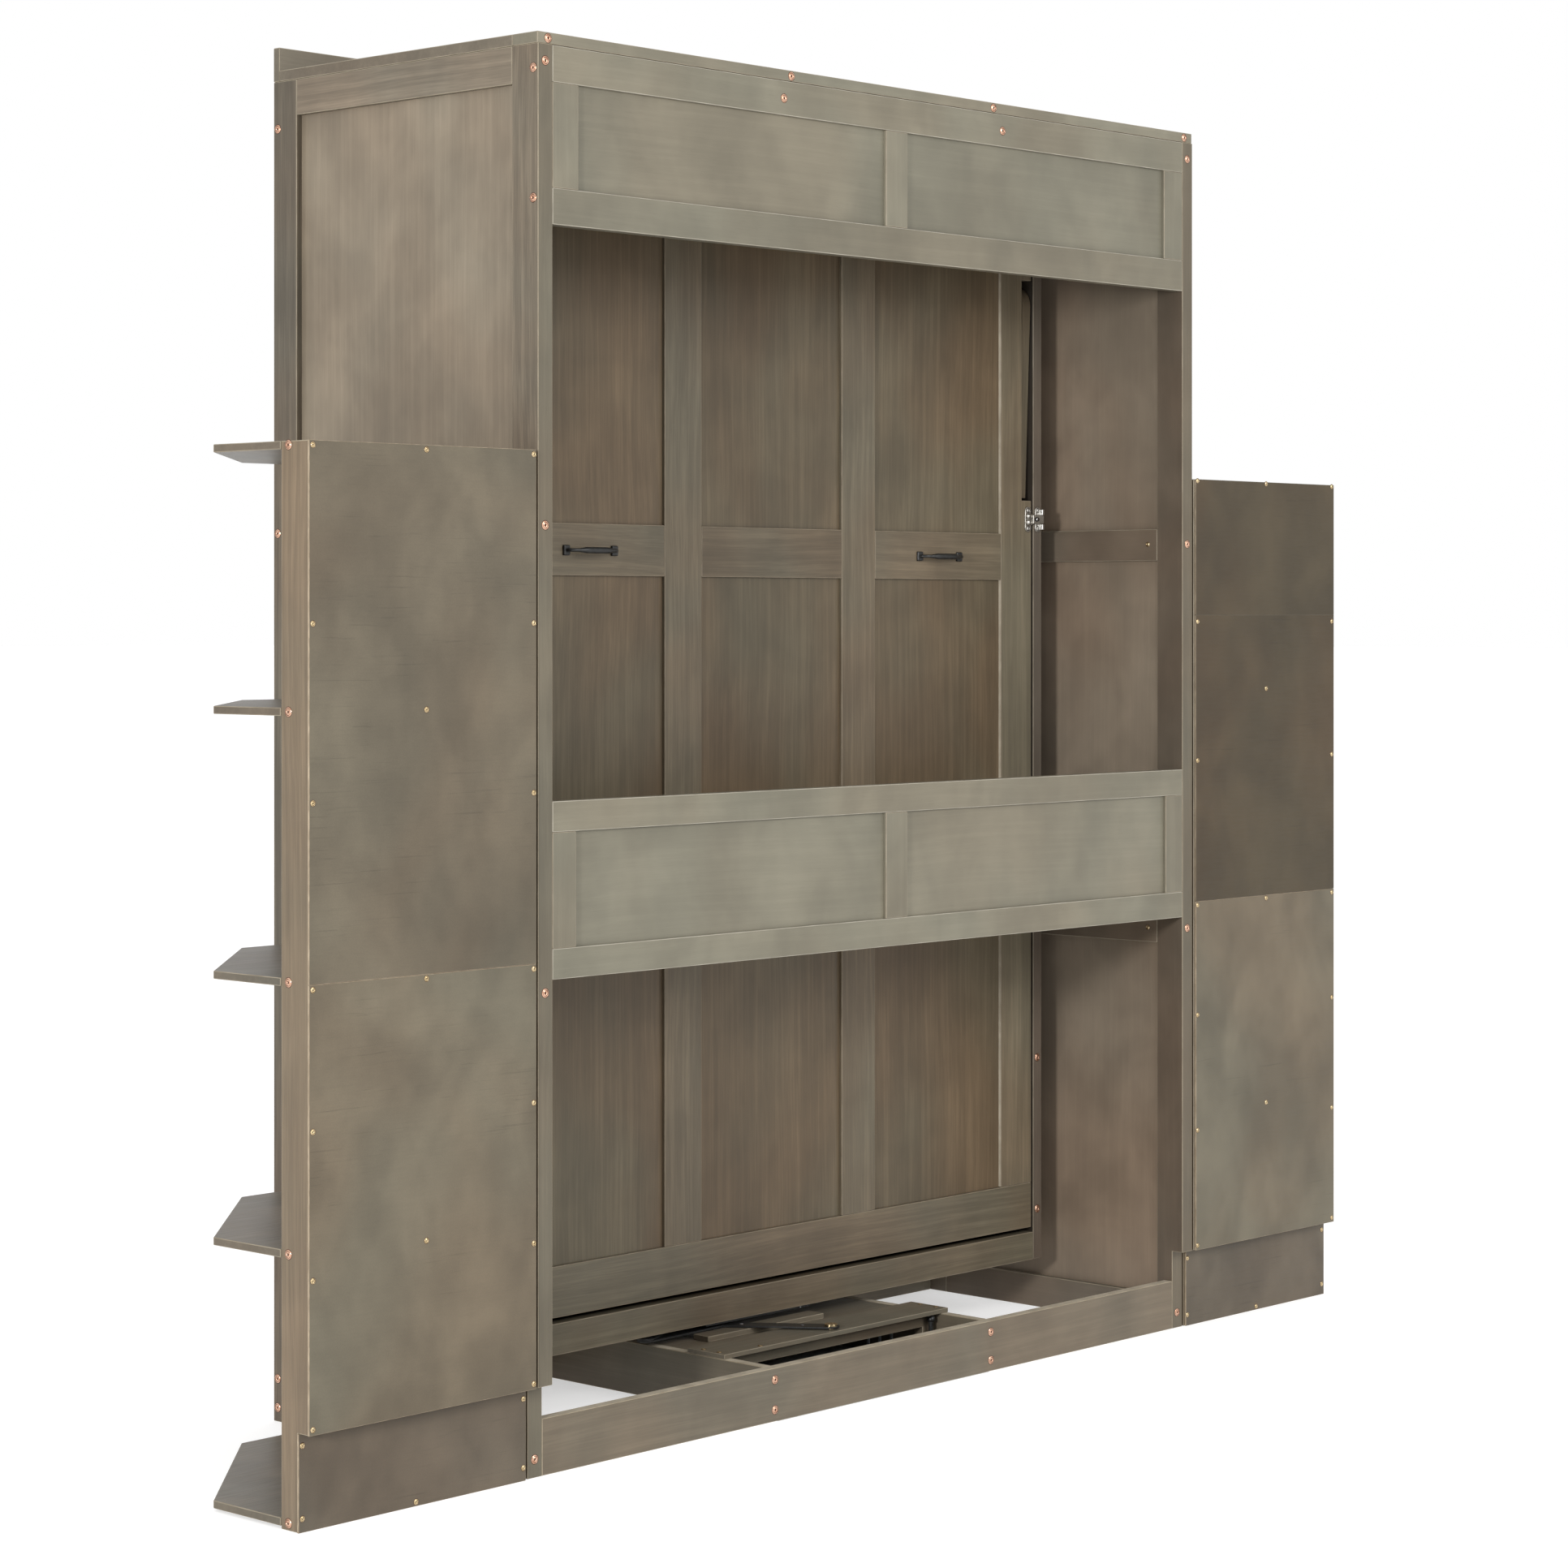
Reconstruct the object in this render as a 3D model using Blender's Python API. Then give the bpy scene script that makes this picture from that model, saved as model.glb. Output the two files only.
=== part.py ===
"""Revolving wall bed, full size, in metres.

A tall cabinet stands between two open corner-shelf towers.  Inside it a shallow
box hangs on two folding arms and turns half way round: one face is a plain
panelled front, the other is a fold-down bed with two drop legs.

+Z is up, -Y is the room side, +Y is the wall side and X = 0 is the middle.
Distances called "depth" are measured from the back plane of the cabinet
towards the room, so depth(0) is the plane that faces the wall.
"""
import math

import bmesh
import bpy

# --- driving dimensions -----------------------------------------------------
GAP = 0.0003                    # clearance between pieces that touch
BEYOND = 0.01                   # how far a cutter reaches past a surface
MERGE = 0.001                   # how far two bodies of one piece run into each other
BACK_Y = 0.3115                 # back plane of the cabinet

CAB_HALF = 0.828                # half of the cabinet's width
CAB_DEPTH = 0.628
SIDE_T = 0.030                  # side frame thickness
SIDE_IN = CAB_HALF - SIDE_T
SIDE_STILE = 0.058
SIDE_TOP = 2.186
SIDE_RAILS = ((0.0, 0.060), (0.710, 0.768), (1.4165, 1.475), (2.128, SIDE_TOP))
PANEL_T = 0.008
GROOVE = 0.008                  # how far a panel runs into its frame
TOP_T = 0.018
TOP_Z = SIDE_TOP + TOP_T
CORNICE_T = 0.014
CORNICE_TOP = 2.242
SKIRTING_D, SKIRTING_H = 0.0234, 0.1425     # notch that clears the skirting board

HEADER_Z, HEADER_T, HEADER_RAIL, HEADER_STILE = (1.912, 2.1855), 0.022, 0.056, 0.055
HEADBOARD_Z, HEADBOARD_RAIL, HEADBOARD_STILE = (0.760, 1.032), 0.047, 0.050
CENTRE_STILE = 0.055
BACK_RECESS = 0.006

RAIL_T = 0.018
BASE_TOP = 0.0877
FRONT_RAIL_TOP = 0.090
BEAM_X = 0.2755
DECK_T = 0.012
BASE_HALF = BEAM_X + RAIL_T / 2              # the beams' outer faces
BOARD_D, BOARD_TOP = (0.129, 0.215), 0.0958  # pivot board
GUIDE_D, GUIDE_BOTTOM = 0.152, 0.020         # slotted board under the pivot board
GUIDE_SLOT_X, GUIDE_SLOT_Z = 0.2425, (0.040, 0.0645)
SPACER_X, SPACER_D, SPACER_TOP = (-0.092, 0.198), (0.250, 0.285), 0.0972

# --- revolving arms ---------------------------------------------------------
PIVOT_D = 0.150                 # depth of the fixed pivot
BOX_CENTRE_D = 0.440            # depth of the box's own pivot at rest
ARM_LENGTH = 0.335              # pivot to pivot, both arms
ARM_W = 0.030
ARM_T = 0.003
ARM_LOWER_Z, ARM_UPPER_Z, PLATE_Z = 0.0983, 0.1018, 0.1053
PLATE_R, PLATE_T = 0.060, 0.0034
BOLT_R, BOLT_LENGTH, BOLT_HEAD_R, BOLT_HEAD_T = 0.006, 0.014, 0.011, 0.003
ELBOW_D = (PIVOT_D + BOX_CENTRE_D) / 2
ELBOW_X = math.sqrt(ARM_LENGTH ** 2 - (ELBOW_D - PIVOT_D) ** 2)
CRANK_D, CRANK_X = 0.303, 0.117             # bend of the lower arm
PIN_R = 0.008

# --- revolving box ----------------------------------------------------------
BOX_HALF = 0.7348
BOX_SIDE_T = 0.0243
BOX_IN = BOX_HALF - BOX_SIDE_T
BOX_D = (0.2817, 0.600)
BOX_Z = (0.109, 2.130)
BOX_LIP, BOX_LIP_T = 0.0513, 0.025
FRONT_T = 0.020
FRONT_STILE, FRONT_RAIL = 0.085, 0.085

# --- bed --------------------------------------------------------------------
BED_HALF = 0.7085
BED_D = 0.285                   # depth of the face with the handles
BED_FACE_T = 0.020
BED_RECESS = 0.006
BED_PANEL_T = 0.0054
BED_Z = (0.169, 2.098)
BED_OUTER_BAY = (0.267, 0.620)
BED_CENTRE_BAY = 0.178
BED_ROWS = ((0.253, 1.381), (1.467, 2.013))
RING_HALF, RING_T, RING_D = 0.677, 0.022, (0.3053, 0.425)
RING_Z = (0.172, 2.095)
SLAT_COUNT, SLAT_W, SLAT_T, SLAT_D = 12, 0.070, 0.018, 0.333
LEDGE_W, LEDGE_T = 0.022, 0.022
LEG_X = (0.6835, 0.7070)
LEG_PIVOT_D, LEG_PIVOT_Z = 0.312, 1.894
LEG_LENGTH = 0.3585             # pivot to tip
LEG_TOP_HALF, LEG_TOP_RISE, LEG_TIP_HALF = 0.026, 0.035, 0.0138
LEG_PIN_R, LEG_PIN_LENGTH = 0.0035, 0.018
LEG_ARC_STEPS = 16
# the bed's own pivot: at this height the legs just reach the floor when it is down
BED_PIVOT_D, BED_PIN_R = 0.318, 0.005
BED_PIN_SINK, PIN_BORE = 0.012, 0.015       # a pin's reach and its bore's, in the ring
BED_HEAD_R, BED_HEAD_T = 0.010, 0.004
BED_PIVOT_Z = LEG_LENGTH + (BED_PIVOT_D - LEG_PIVOT_D)
LEG_SLOT_X, LEG_SLOT_Z = 0.681, (1.530, 1.942)

HANDLE_X, HANDLE_Z, HANDLE_HALF, HANDLE_OUT = 0.4424, 1.4225, 0.0627, 0.026
HANDLE_FOOT, HANDLE_NECK_R = (0.0155, 0.018), 0.0045
HANDLE_GRIP_R, HANDLE_GRIP_HALF = 0.0062, 0.031

CATCH_Z, CATCH_H, CATCH_T = 1.495, 0.048, 0.002
CATCH_PLATE_X, CATCH_TAB_X = (-0.7135, -0.7315), (-0.7295, -0.7395)     # on the box's rail
CATCH_TAB_Z, CATCH_TAB_HALF, CATCH_TAB_OUT = 0.0137, 0.005, 0.008
TONGUE_PLATE_X, TONGUE_RISER_X, TONGUE_TIP_X = (-0.6890, -0.7070), -0.7025, -0.7285
TONGUE_D, TONGUE_RISER_HALF, TONGUE_HALF = 0.270, 0.010, 0.008

# --- towers -----------------------------------------------------------------
TOWER_IN, TOWER_OUT = 0.833, 1.280
TOWER_DEPTH = 0.480
TOWER_SIDE_T = 0.018
POST_W = 0.060
TOWER_TOP = 1.567
PLY_T = 0.005
PLY_SPLIT = 0.787
SHELF_T = 0.012
SHELF_Z = (0.0105, 0.397, 0.788, 1.177, 1.561)      # middle of each shelf
CHAMFER_D, CHAMFER_X = 0.214, 1.014

SIDES = (("left", -1), ("right", 1))        # as seen from the room


def depth(distance):
    """Y of a place that lies this far in front of the back plane."""
    return BACK_Y - distance


# --- scene and materials ----------------------------------------------------
for old in list(bpy.data.objects):
    bpy.data.objects.remove(old, do_unlink=True)

parts = bpy.data.collections.new("revolving_wall_bed")
cutters = bpy.data.collections.new("cutters")
for collection in (parts, cutters):
    bpy.context.scene.collection.children.link(collection)


def principled(name, colour, roughness, metallic=0.0):
    material = bpy.data.materials.new(name)
    material.use_nodes = True
    shader = material.node_tree.nodes["Principled BSDF"]
    shader.inputs["Base Color"].default_value = (*colour, 1.0)
    shader.inputs["Roughness"].default_value = roughness
    shader.inputs["Metallic"].default_value = metallic
    return material


WOOD = principled("stained_wood", (0.235, 0.195, 0.145), 0.5)
PANEL = principled("stained_panel", (0.215, 0.195, 0.150), 0.55)
PLYWOOD = principled("plywood", (0.175, 0.160, 0.120), 0.6)
BLACK = principled("black_steel", (0.02, 0.02, 0.02), 0.4, 0.6)
CHROME = principled("chrome", (0.75, 0.75, 0.75), 0.15, 1.0)
BRASS = principled("brass", (0.72, 0.48, 0.25), 0.3, 1.0)


# --- makers -----------------------------------------------------------------
def settle(obj, name, material, collection=parts):
    """Name an object, give it its material and put it in one collection."""
    obj.name = name
    obj.data.name = name
    for home in list(obj.users_collection):
        home.objects.unlink(obj)
    collection.objects.link(obj)
    if collection is cutters:
        obj.hide_render = True
        obj.display_type = "WIRE"
    else:
        obj.data.materials.append(material)
    return obj


def box(name, x, y, z, material, collection=parts):
    """A box between pairs of X, Y and Z limits, given in any order."""
    size = [abs(b - a) for a, b in (x, y, z)]
    middle = [(a + b) / 2 for a, b in (x, y, z)]
    bpy.ops.mesh.primitive_cube_add(size=1, location=middle)
    obj = bpy.context.object
    for vertex in obj.data.vertices:
        vertex.co = [vertex.co[i] * size[i] for i in range(3)]
    return settle(obj, name, material, collection)


def cylinder(name, radius, start, length, axis, material, collection=parts, sides=32):
    """A round bar that starts at a point and runs along +X or +Z."""
    middle = list(start)
    middle["XYZ".index(axis)] += length / 2
    turn = (0, math.pi / 2, 0) if axis == "X" else (0, 0, 0)
    bpy.ops.mesh.primitive_cylinder_add(
        vertices=sides, radius=radius, depth=abs(length), location=middle, rotation=turn)
    obj = bpy.context.object
    obj.data.shade_smooth()
    obj.data.set_sharp_from_angle(angle=math.radians(40))
    return settle(obj, name, material, collection)


def boolean(obj, tool, operation):
    modifier = obj.modifiers.new(tool.name, "BOOLEAN")
    modifier.operation = operation
    modifier.solver = "EXACT"
    modifier.object = tool
    return obj


def cut_box(obj, x, y, z):
    """Cut a box-shaped space out of a piece."""
    return boolean(obj, box(obj.name + "_cut", x, y, z, None, cutters), "DIFFERENCE")


def add_box(obj, x, y, z):
    return boolean(obj, box(obj.name + "_add", x, y, z, None, cutters), "UNION")


def cut_round(obj, radius, start, length, axis):
    tool = cylinder(obj.name + "_bore", radius, start, length, axis, None, cutters)
    return boolean(obj, tool, "DIFFERENCE")


def add_round(obj, radius, start, length, axis):
    tool = cylinder(obj.name + "_boss", radius, start, length, axis, None, cutters)
    return boolean(obj, tool, "UNION")


def mirrored(side, inner, outer):
    """X limits of something that lies inner..outer from the middle, on one side."""
    return (side * inner, side * outer)


def outline(name, corners, run, material):
    """A flat piece: an outline of corners, made thick along the vector run."""
    mesh = bpy.data.meshes.new(name)
    shape = bmesh.new()
    face = shape.faces.new([shape.verts.new(corner) for corner in corners])
    raised = bmesh.ops.extrude_face_region(shape, geom=[face])
    moved = [item for item in raised["geom"] if isinstance(item, bmesh.types.BMVert)]
    bmesh.ops.translate(shape, verts=moved, vec=run)
    bmesh.ops.recalc_face_normals(shape, faces=shape.faces)
    shape.to_mesh(mesh)
    shape.free()
    obj = bpy.data.objects.new(name, mesh)
    bpy.context.scene.collection.objects.link(obj)
    return settle(obj, name, material)


# --- cabinet ----------------------------------------------------------------
def cabinet_side(label, side):
    """One panelled side: stiles, four rails, and one panel that runs in a groove."""
    across = mirrored(side, SIDE_IN, CAB_HALF)
    frame = box(f"side_frame_{label}", across, (depth(0), depth(CAB_DEPTH)), (0, SIDE_TOP), WOOD)
    beyond = mirrored(side, SIDE_IN - BEYOND, CAB_HALF + BEYOND)
    inner = (depth(SIDE_STILE), depth(CAB_DEPTH - SIDE_STILE))
    for lower, upper in zip(SIDE_RAILS, SIDE_RAILS[1:]):
        cut_box(frame, beyond, inner, (lower[1], upper[0]))
    middle = (SIDE_IN + CAB_HALF) / 2
    slot = mirrored(side, middle - PANEL_T / 2 - GAP, middle + PANEL_T / 2 + GAP)
    run_y = (inner[0] + GROOVE, inner[1] - GROOVE)
    run_z = (SIDE_RAILS[0][1] - GROOVE, SIDE_RAILS[-1][0] + GROOVE)
    cut_box(frame, slot, run_y, run_z)
    cut_box(frame, beyond, (depth(-BEYOND), depth(SKIRTING_D)), (-BEYOND, SKIRTING_H))
    box(f"side_panel_{label}", mirrored(side, middle - PANEL_T / 2, middle + PANEL_T / 2),
        (run_y[0] - GAP, run_y[1] + GAP), (run_z[0] + GAP, run_z[1] - GAP), PANEL)


def back_frame(name, z, rail, stile):
    """A two-bay frame across the back, with its panel set into a groove."""
    half = SIDE_IN - GAP
    frame = box(name + "_frame", (-half, half), (depth(0), depth(HEADER_T)), z, WOOD)
    inner_z = (z[0] + rail, z[1] - rail)
    for side in (-1, 1):
        cut_box(frame, mirrored(side, CENTRE_STILE / 2, half - stile),
                (depth(-BEYOND), depth(HEADER_T + BEYOND)), inner_z)
    run = half - stile + GROOVE
    near, far = BACK_RECESS, BACK_RECESS + PANEL_T
    cut_box(frame, (-run, run), (depth(near - GAP), depth(far + GAP)),
            (inner_z[0] - GROOVE, inner_z[1] + GROOVE))
    box(name + "_panel", (-run + GAP, run - GAP), (depth(near), depth(far)),
        (inner_z[0] - GROOVE + GAP, inner_z[1] + GROOVE - GAP), PANEL)


def cabinet():
    for label, side in SIDES:
        cabinet_side(label, side)
    box("top_board", (-CAB_HALF, CAB_HALF), (depth(0), depth(CAB_DEPTH - CORNICE_T - GAP)),
        (SIDE_TOP + GAP, TOP_Z), WOOD)
    box("cornice", (-CAB_HALF, CAB_HALF), (depth(CAB_DEPTH - CORNICE_T), depth(CAB_DEPTH)),
        (SIDE_TOP + GAP, CORNICE_TOP), WOOD)
    back_frame("header", HEADER_Z, HEADER_RAIL, HEADER_STILE)
    back_frame("headboard", HEADBOARD_Z, HEADBOARD_RAIL, HEADBOARD_STILE)


def base():
    """Rails and beams on the floor, and the boards that carry the fixed pivot."""
    half = SIDE_IN - GAP
    back_front = SKIRTING_D + RAIL_T
    front_back = CAB_DEPTH - RAIL_T
    box("base_back_rail", (-half, half), (depth(SKIRTING_D), depth(back_front)),
        (0, BASE_TOP), WOOD)
    box("base_front_rail", (-half, half), (depth(front_back), depth(CAB_DEPTH)),
        (0, FRONT_RAIL_TOP), WOOD)
    for label, side in SIDES:
        box(f"cross_beam_{label}", mirrored(side, BEAM_X - RAIL_T / 2, BEAM_X + RAIL_T / 2),
            (depth(back_front + GAP), depth(front_back - GAP)), (0, BASE_TOP), WOOD)
    deck_half = BEAM_X - RAIL_T / 2 - GAP
    box("deck_board", (-deck_half, deck_half),
        (depth(GUIDE_D + RAIL_T + GAP), depth(front_back - GAP)),
        (BASE_TOP - DECK_T, BASE_TOP), WOOD)
    board = box("pivot_board", (-BASE_HALF, BASE_HALF), (depth(BOARD_D[0]), depth(BOARD_D[1])),
                (BASE_TOP + GAP, BOARD_TOP), WOOD)
    cut_round(board, BOLT_R + GAP, (0, depth(PIVOT_D), BASE_TOP - BEYOND), 3 * BEYOND, "Z")
    guide = box("guide_board", (-deck_half, deck_half),
                (depth(GUIDE_D), depth(GUIDE_D + RAIL_T)), (GUIDE_BOTTOM, BASE_TOP), WOOD)
    cut_box(guide, (-GUIDE_SLOT_X, GUIDE_SLOT_X),
            (depth(GUIDE_D - BEYOND), depth(GUIDE_D + RAIL_T + BEYOND)), GUIDE_SLOT_Z)
    box("spacer_strip", SPACER_X, (depth(SPACER_D[0]), depth(SPACER_D[1])),
        (BASE_TOP + GAP, SPACER_TOP), WOOD)
    bolt = cylinder("pivot_bolt", BOLT_R, (0, depth(PIVOT_D), BASE_TOP + 2 * GAP),
                    BOLT_LENGTH, "Z", BRASS)
    add_round(bolt, BOLT_HEAD_R, (0, depth(PIVOT_D), ARM_LOWER_Z + ARM_T + GAP),
              BOLT_HEAD_T, "Z")


# --- arms -------------------------------------------------------------------
def bar(name, start, end, z, material=None, collection=cutters):
    """A flat bar between two points in plan, without its round ends."""
    run = (end[0] - start[0], end[1] - start[1])
    length = math.hypot(*run)
    obj = box(name, (-length / 2, length / 2), (-ARM_W / 2, ARM_W / 2), (z, z + ARM_T),
              material, collection)
    obj.location = ((start[0] + end[0]) / 2, (start[1] + end[1]) / 2, z + ARM_T / 2)
    obj.rotation_euler = (0, 0, math.atan2(run[1], run[0]))
    return obj


def arms():
    """Two arms of one length.  The lower one is cranked, so it clears the base."""
    pivot = (0, depth(PIVOT_D))
    crank = (CRANK_X, depth(CRANK_D))
    elbow = (ELBOW_X, depth(ELBOW_D))
    centre = (0, depth(BOX_CENTRE_D))

    lower = bar("arm_lower", pivot, crank, ARM_LOWER_Z, BLACK, parts)
    boolean(lower, bar("arm_lower_reach", crank, elbow, ARM_LOWER_Z), "UNION")
    for x, y in (pivot, crank, elbow):
        add_round(lower, ARM_W / 2, (x, y, ARM_LOWER_Z), ARM_T, "Z")
    cut_round(lower, BOLT_R + GAP, (*pivot, ARM_LOWER_Z - BEYOND), 3 * BEYOND, "Z")
    add_round(lower, PIN_R, (*elbow, ARM_LOWER_Z), ARM_UPPER_Z + ARM_T - ARM_LOWER_Z, "Z")

    upper = bar("arm_upper", elbow, centre, ARM_UPPER_Z, BLACK, parts)
    for x, y in (elbow, centre):
        add_round(upper, ARM_W / 2, (x, y, ARM_UPPER_Z), ARM_T, "Z")
        cut_round(upper, PIN_R + GAP, (x, y, ARM_UPPER_Z - BEYOND), 3 * BEYOND, "Z")

    plate = cylinder("swivel_plate", PLATE_R, (*centre, PLATE_Z), PLATE_T, "Z", BLACK, sides=48)
    add_round(plate, PIN_R, (*centre, ARM_UPPER_Z), PLATE_Z - ARM_UPPER_Z + MERGE, "Z")


# --- revolving box ----------------------------------------------------------
def revolving_box():
    back, front = depth(BOX_D[0]), depth(BOX_D[1])
    for label, side in SIDES:
        rail = box(f"box_side_{label}", mirrored(side, BOX_IN, BOX_HALF), (back, front),
                   BOX_Z, WOOD)
        inmost = min(mirrored(side, BOX_IN - BEYOND, BOX_HALF + BEYOND))
        cut_round(rail, BED_PIN_R + GAP, (inmost, depth(BED_PIVOT_D), BED_PIVOT_Z),
                  BOX_SIDE_T + 2 * BEYOND, "X")
    half = BOX_IN - GAP
    inner_front = depth(BOX_D[1] - FRONT_T - GAP)
    bottom = box("box_bottom", (-half, half), (back, inner_front),
                 (BOX_Z[0], BOX_Z[0] + RAIL_T), WOOD)
    add_box(bottom, (-half, half), (back, depth(BOX_D[0] + BOX_LIP_T)),
            (BOX_Z[0], BOX_Z[0] + BOX_LIP))
    box("box_top", (-half, half), (back, inner_front), (BOX_Z[1] - RAIL_T, BOX_Z[1]), WOOD)

    frame = box("front_frame", (-half, half), (depth(BOX_D[1] - FRONT_T), front), BOX_Z, WOOD)
    bay = (2 * half - 3 * FRONT_STILE) / 2
    inner_z = (BOX_Z[0] + FRONT_RAIL, BOX_Z[1] - FRONT_RAIL)
    middle_z = sum(SIDE_RAILS[2]) / 2
    rows = ((inner_z[0], middle_z - FRONT_RAIL / 2), (middle_z + FRONT_RAIL / 2, inner_z[1]))
    through = (depth(BOX_D[1] - FRONT_T - BEYOND), depth(BOX_D[1] + BEYOND))
    for side in (-1, 1):
        for row in rows:
            cut_box(frame, mirrored(side, FRONT_STILE / 2, FRONT_STILE / 2 + bay), through, row)
    run = half - FRONT_STILE + GROOVE
    near = BOX_D[1] - BACK_RECESS - PANEL_T
    cut_box(frame, (-run, run), (depth(near - GAP), depth(near + PANEL_T + GAP)),
            (inner_z[0] - GROOVE, inner_z[1] + GROOVE))
    box("front_panel", (-run + GAP, run - GAP), (depth(near), depth(near + PANEL_T)),
        (inner_z[0] - GROOVE + GAP, inner_z[1] + GROOVE - GAP), PANEL)

    shank = (RING_HALF - BED_PIN_SINK, BOX_HALF + GAP)
    for label, side in SIDES:
        pin = cylinder(f"bed_pivot_{label}", BED_PIN_R,
                       (min(mirrored(side, *shank)), depth(BED_PIVOT_D), BED_PIVOT_Z),
                       shank[1] - shank[0], "X", BRASS)
        head = min(mirrored(side, shank[1], BOX_HALF + BED_HEAD_T))
        add_round(pin, BED_HEAD_R, (head, depth(BED_PIVOT_D), BED_PIVOT_Z),
                  BED_HEAD_T - GAP, "X")


def catch():
    """A catch that bridges the box's left rail and the bed's edge."""
    z = (CATCH_Z - CATCH_H / 2, CATCH_Z + CATCH_H / 2)
    on_rail, on_bed = BOX_D[0] - GAP, BED_D - GAP
    body = box("catch_body", CATCH_PLATE_X, (depth(on_rail - CATCH_T), depth(on_rail)),
               z, CHROME)
    for centre in (CATCH_Z - CATCH_TAB_Z, CATCH_Z + CATCH_TAB_Z):
        add_box(body, CATCH_TAB_X, (depth(on_rail - CATCH_TAB_OUT), depth(on_rail)),
                (centre - CATCH_TAB_HALF, centre + CATCH_TAB_HALF))
    tongue = box("catch_tongue", TONGUE_PLATE_X, (depth(on_bed - CATCH_T), depth(on_bed)),
                 z, CHROME)
    add_box(tongue, (TONGUE_RISER_X, TONGUE_PLATE_X[1]), (depth(TONGUE_D), depth(on_bed)),
            (CATCH_Z - TONGUE_RISER_HALF, CATCH_Z + TONGUE_RISER_HALF))
    add_box(tongue, (TONGUE_RISER_X, TONGUE_TIP_X), (depth(TONGUE_D), depth(TONGUE_D + CATCH_T)),
            (CATCH_Z - TONGUE_HALF, CATCH_Z + TONGUE_HALF))


# --- bed --------------------------------------------------------------------
def bed_face():
    frame = box("bed_face_frame", (-BED_HALF, BED_HALF), (depth(BED_D), depth(BED_D + BED_FACE_T)),
                BED_Z, WOOD)
    through = (depth(BED_D - BEYOND), depth(BED_D + BED_FACE_T + BEYOND))
    for row in BED_ROWS:
        cut_box(frame, (-BED_CENTRE_BAY, BED_CENTRE_BAY), through, row)
        for side in (-1, 1):
            cut_box(frame, mirrored(side, *BED_OUTER_BAY), through, row)
    run_x = BED_OUTER_BAY[1] + GROOVE
    run_z = (BED_ROWS[0][0] - GROOVE, BED_ROWS[1][1] + GROOVE)
    near, far = BED_D + BED_RECESS, BED_D + BED_RECESS + BED_PANEL_T
    cut_box(frame, (-run_x, run_x), (depth(near - GAP), depth(far + GAP)), run_z)
    for side in (-1, 1):
        cut_box(frame, mirrored(side, LEG_SLOT_X, BED_HALF + BEYOND), through, LEG_SLOT_Z)
    box("bed_face_panel", (-run_x + GAP, run_x - GAP), (depth(near), depth(far)),
        (run_z[0] + GAP, run_z[1] - GAP), PANEL)


def bed_inside():
    """The ring that holds the mattress, and a rack of slats on two ledges."""
    y = (depth(RING_D[0]), depth(RING_D[1]))
    ring = box("bed_inner_frame", (-RING_HALF, RING_HALF), y, RING_Z, WOOD)
    inner = RING_HALF - RING_T
    cut_box(ring, (-inner, inner), (y[0] + BEYOND, y[1] - BEYOND),
            (RING_Z[0] + RING_T, RING_Z[1] - RING_T))
    for side in (-1, 1):
        start = min(mirrored(side, RING_HALF - PIN_BORE, RING_HALF + PIN_BORE))
        for radius, d, z in ((BED_PIN_R, BED_PIVOT_D, BED_PIVOT_Z),
                             (LEG_PIN_R, LEG_PIVOT_D, LEG_PIVOT_Z)):
            cut_round(ring, radius + GAP, (start, depth(d), z), 2 * PIN_BORE, "X")

    half = inner - GAP
    low, high = RING_Z[0] + RING_T + GAP, RING_Z[1] - RING_T - GAP
    ledge_y = (depth(SLAT_D - LEDGE_T), depth(SLAT_D + MERGE))
    rack = box("slat_rack", (-half, -half + LEDGE_W), ledge_y, (low, high), WOOD)
    add_box(rack, (half - LEDGE_W, half), ledge_y, (low, high))
    pitch = (high - low - SLAT_W) / (SLAT_COUNT - 1)
    for i in range(SLAT_COUNT):
        foot = low + i * pitch
        add_box(rack, (-half, half), (depth(SLAT_D), depth(SLAT_D + SLAT_T)),
                (foot, foot + SLAT_W))


def handle(label, side):
    """A bar pull: two posts and a grip that swells in the middle."""
    x = side * HANDLE_X
    back, out = depth(BED_D - GAP), depth(BED_D - HANDLE_OUT)
    width, height = HANDLE_FOOT
    posts = [(x + end * (HANDLE_HALF - width / 2)) for end in (-1, 1)]
    obj = box(f"handle_{label}", (posts[0] - width / 2, posts[0] + width / 2), (back, out),
              (HANDLE_Z - height / 2, HANDLE_Z + height / 2), BLACK)
    add_box(obj, (posts[1] - width / 2, posts[1] + width / 2), (back, out),
            (HANDLE_Z - height / 2, HANDLE_Z + height / 2))
    neck, grip_y = HANDLE_HALF - width / 2, out - HANDLE_GRIP_R
    add_round(obj, HANDLE_NECK_R, (x - neck, grip_y, HANDLE_Z), 2 * neck, "X")
    add_round(obj, HANDLE_GRIP_R, (x - HANDLE_GRIP_HALF, grip_y, HANDLE_Z),
              2 * HANDLE_GRIP_HALF, "X")


def leg(label, side):
    """A tapered drop leg with a round top, carried on a pin in the bed's side rail."""
    x = min(mirrored(side, *LEG_X))
    middle, tip = depth(LEG_PIVOT_D), LEG_PIVOT_Z - LEG_LENGTH
    corners = [(x, middle + LEG_TIP_HALF, tip), (x, middle - LEG_TIP_HALF, tip)]
    for step in range(LEG_ARC_STEPS + 1):
        turn = math.pi * (1 + step / LEG_ARC_STEPS)
        corners.append((x, middle + LEG_TOP_HALF * math.cos(turn),
                        LEG_PIVOT_Z - LEG_TOP_RISE * math.sin(turn)))
    obj = outline(f"leg_{label}", corners, (LEG_X[1] - LEG_X[0], 0, 0), WOOD)
    seat = LEG_X[0] + MERGE
    start = min(mirrored(side, seat - LEG_PIN_LENGTH, seat))
    add_round(obj, LEG_PIN_R, (start, middle, LEG_PIVOT_Z), LEG_PIN_LENGTH, "X")


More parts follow.
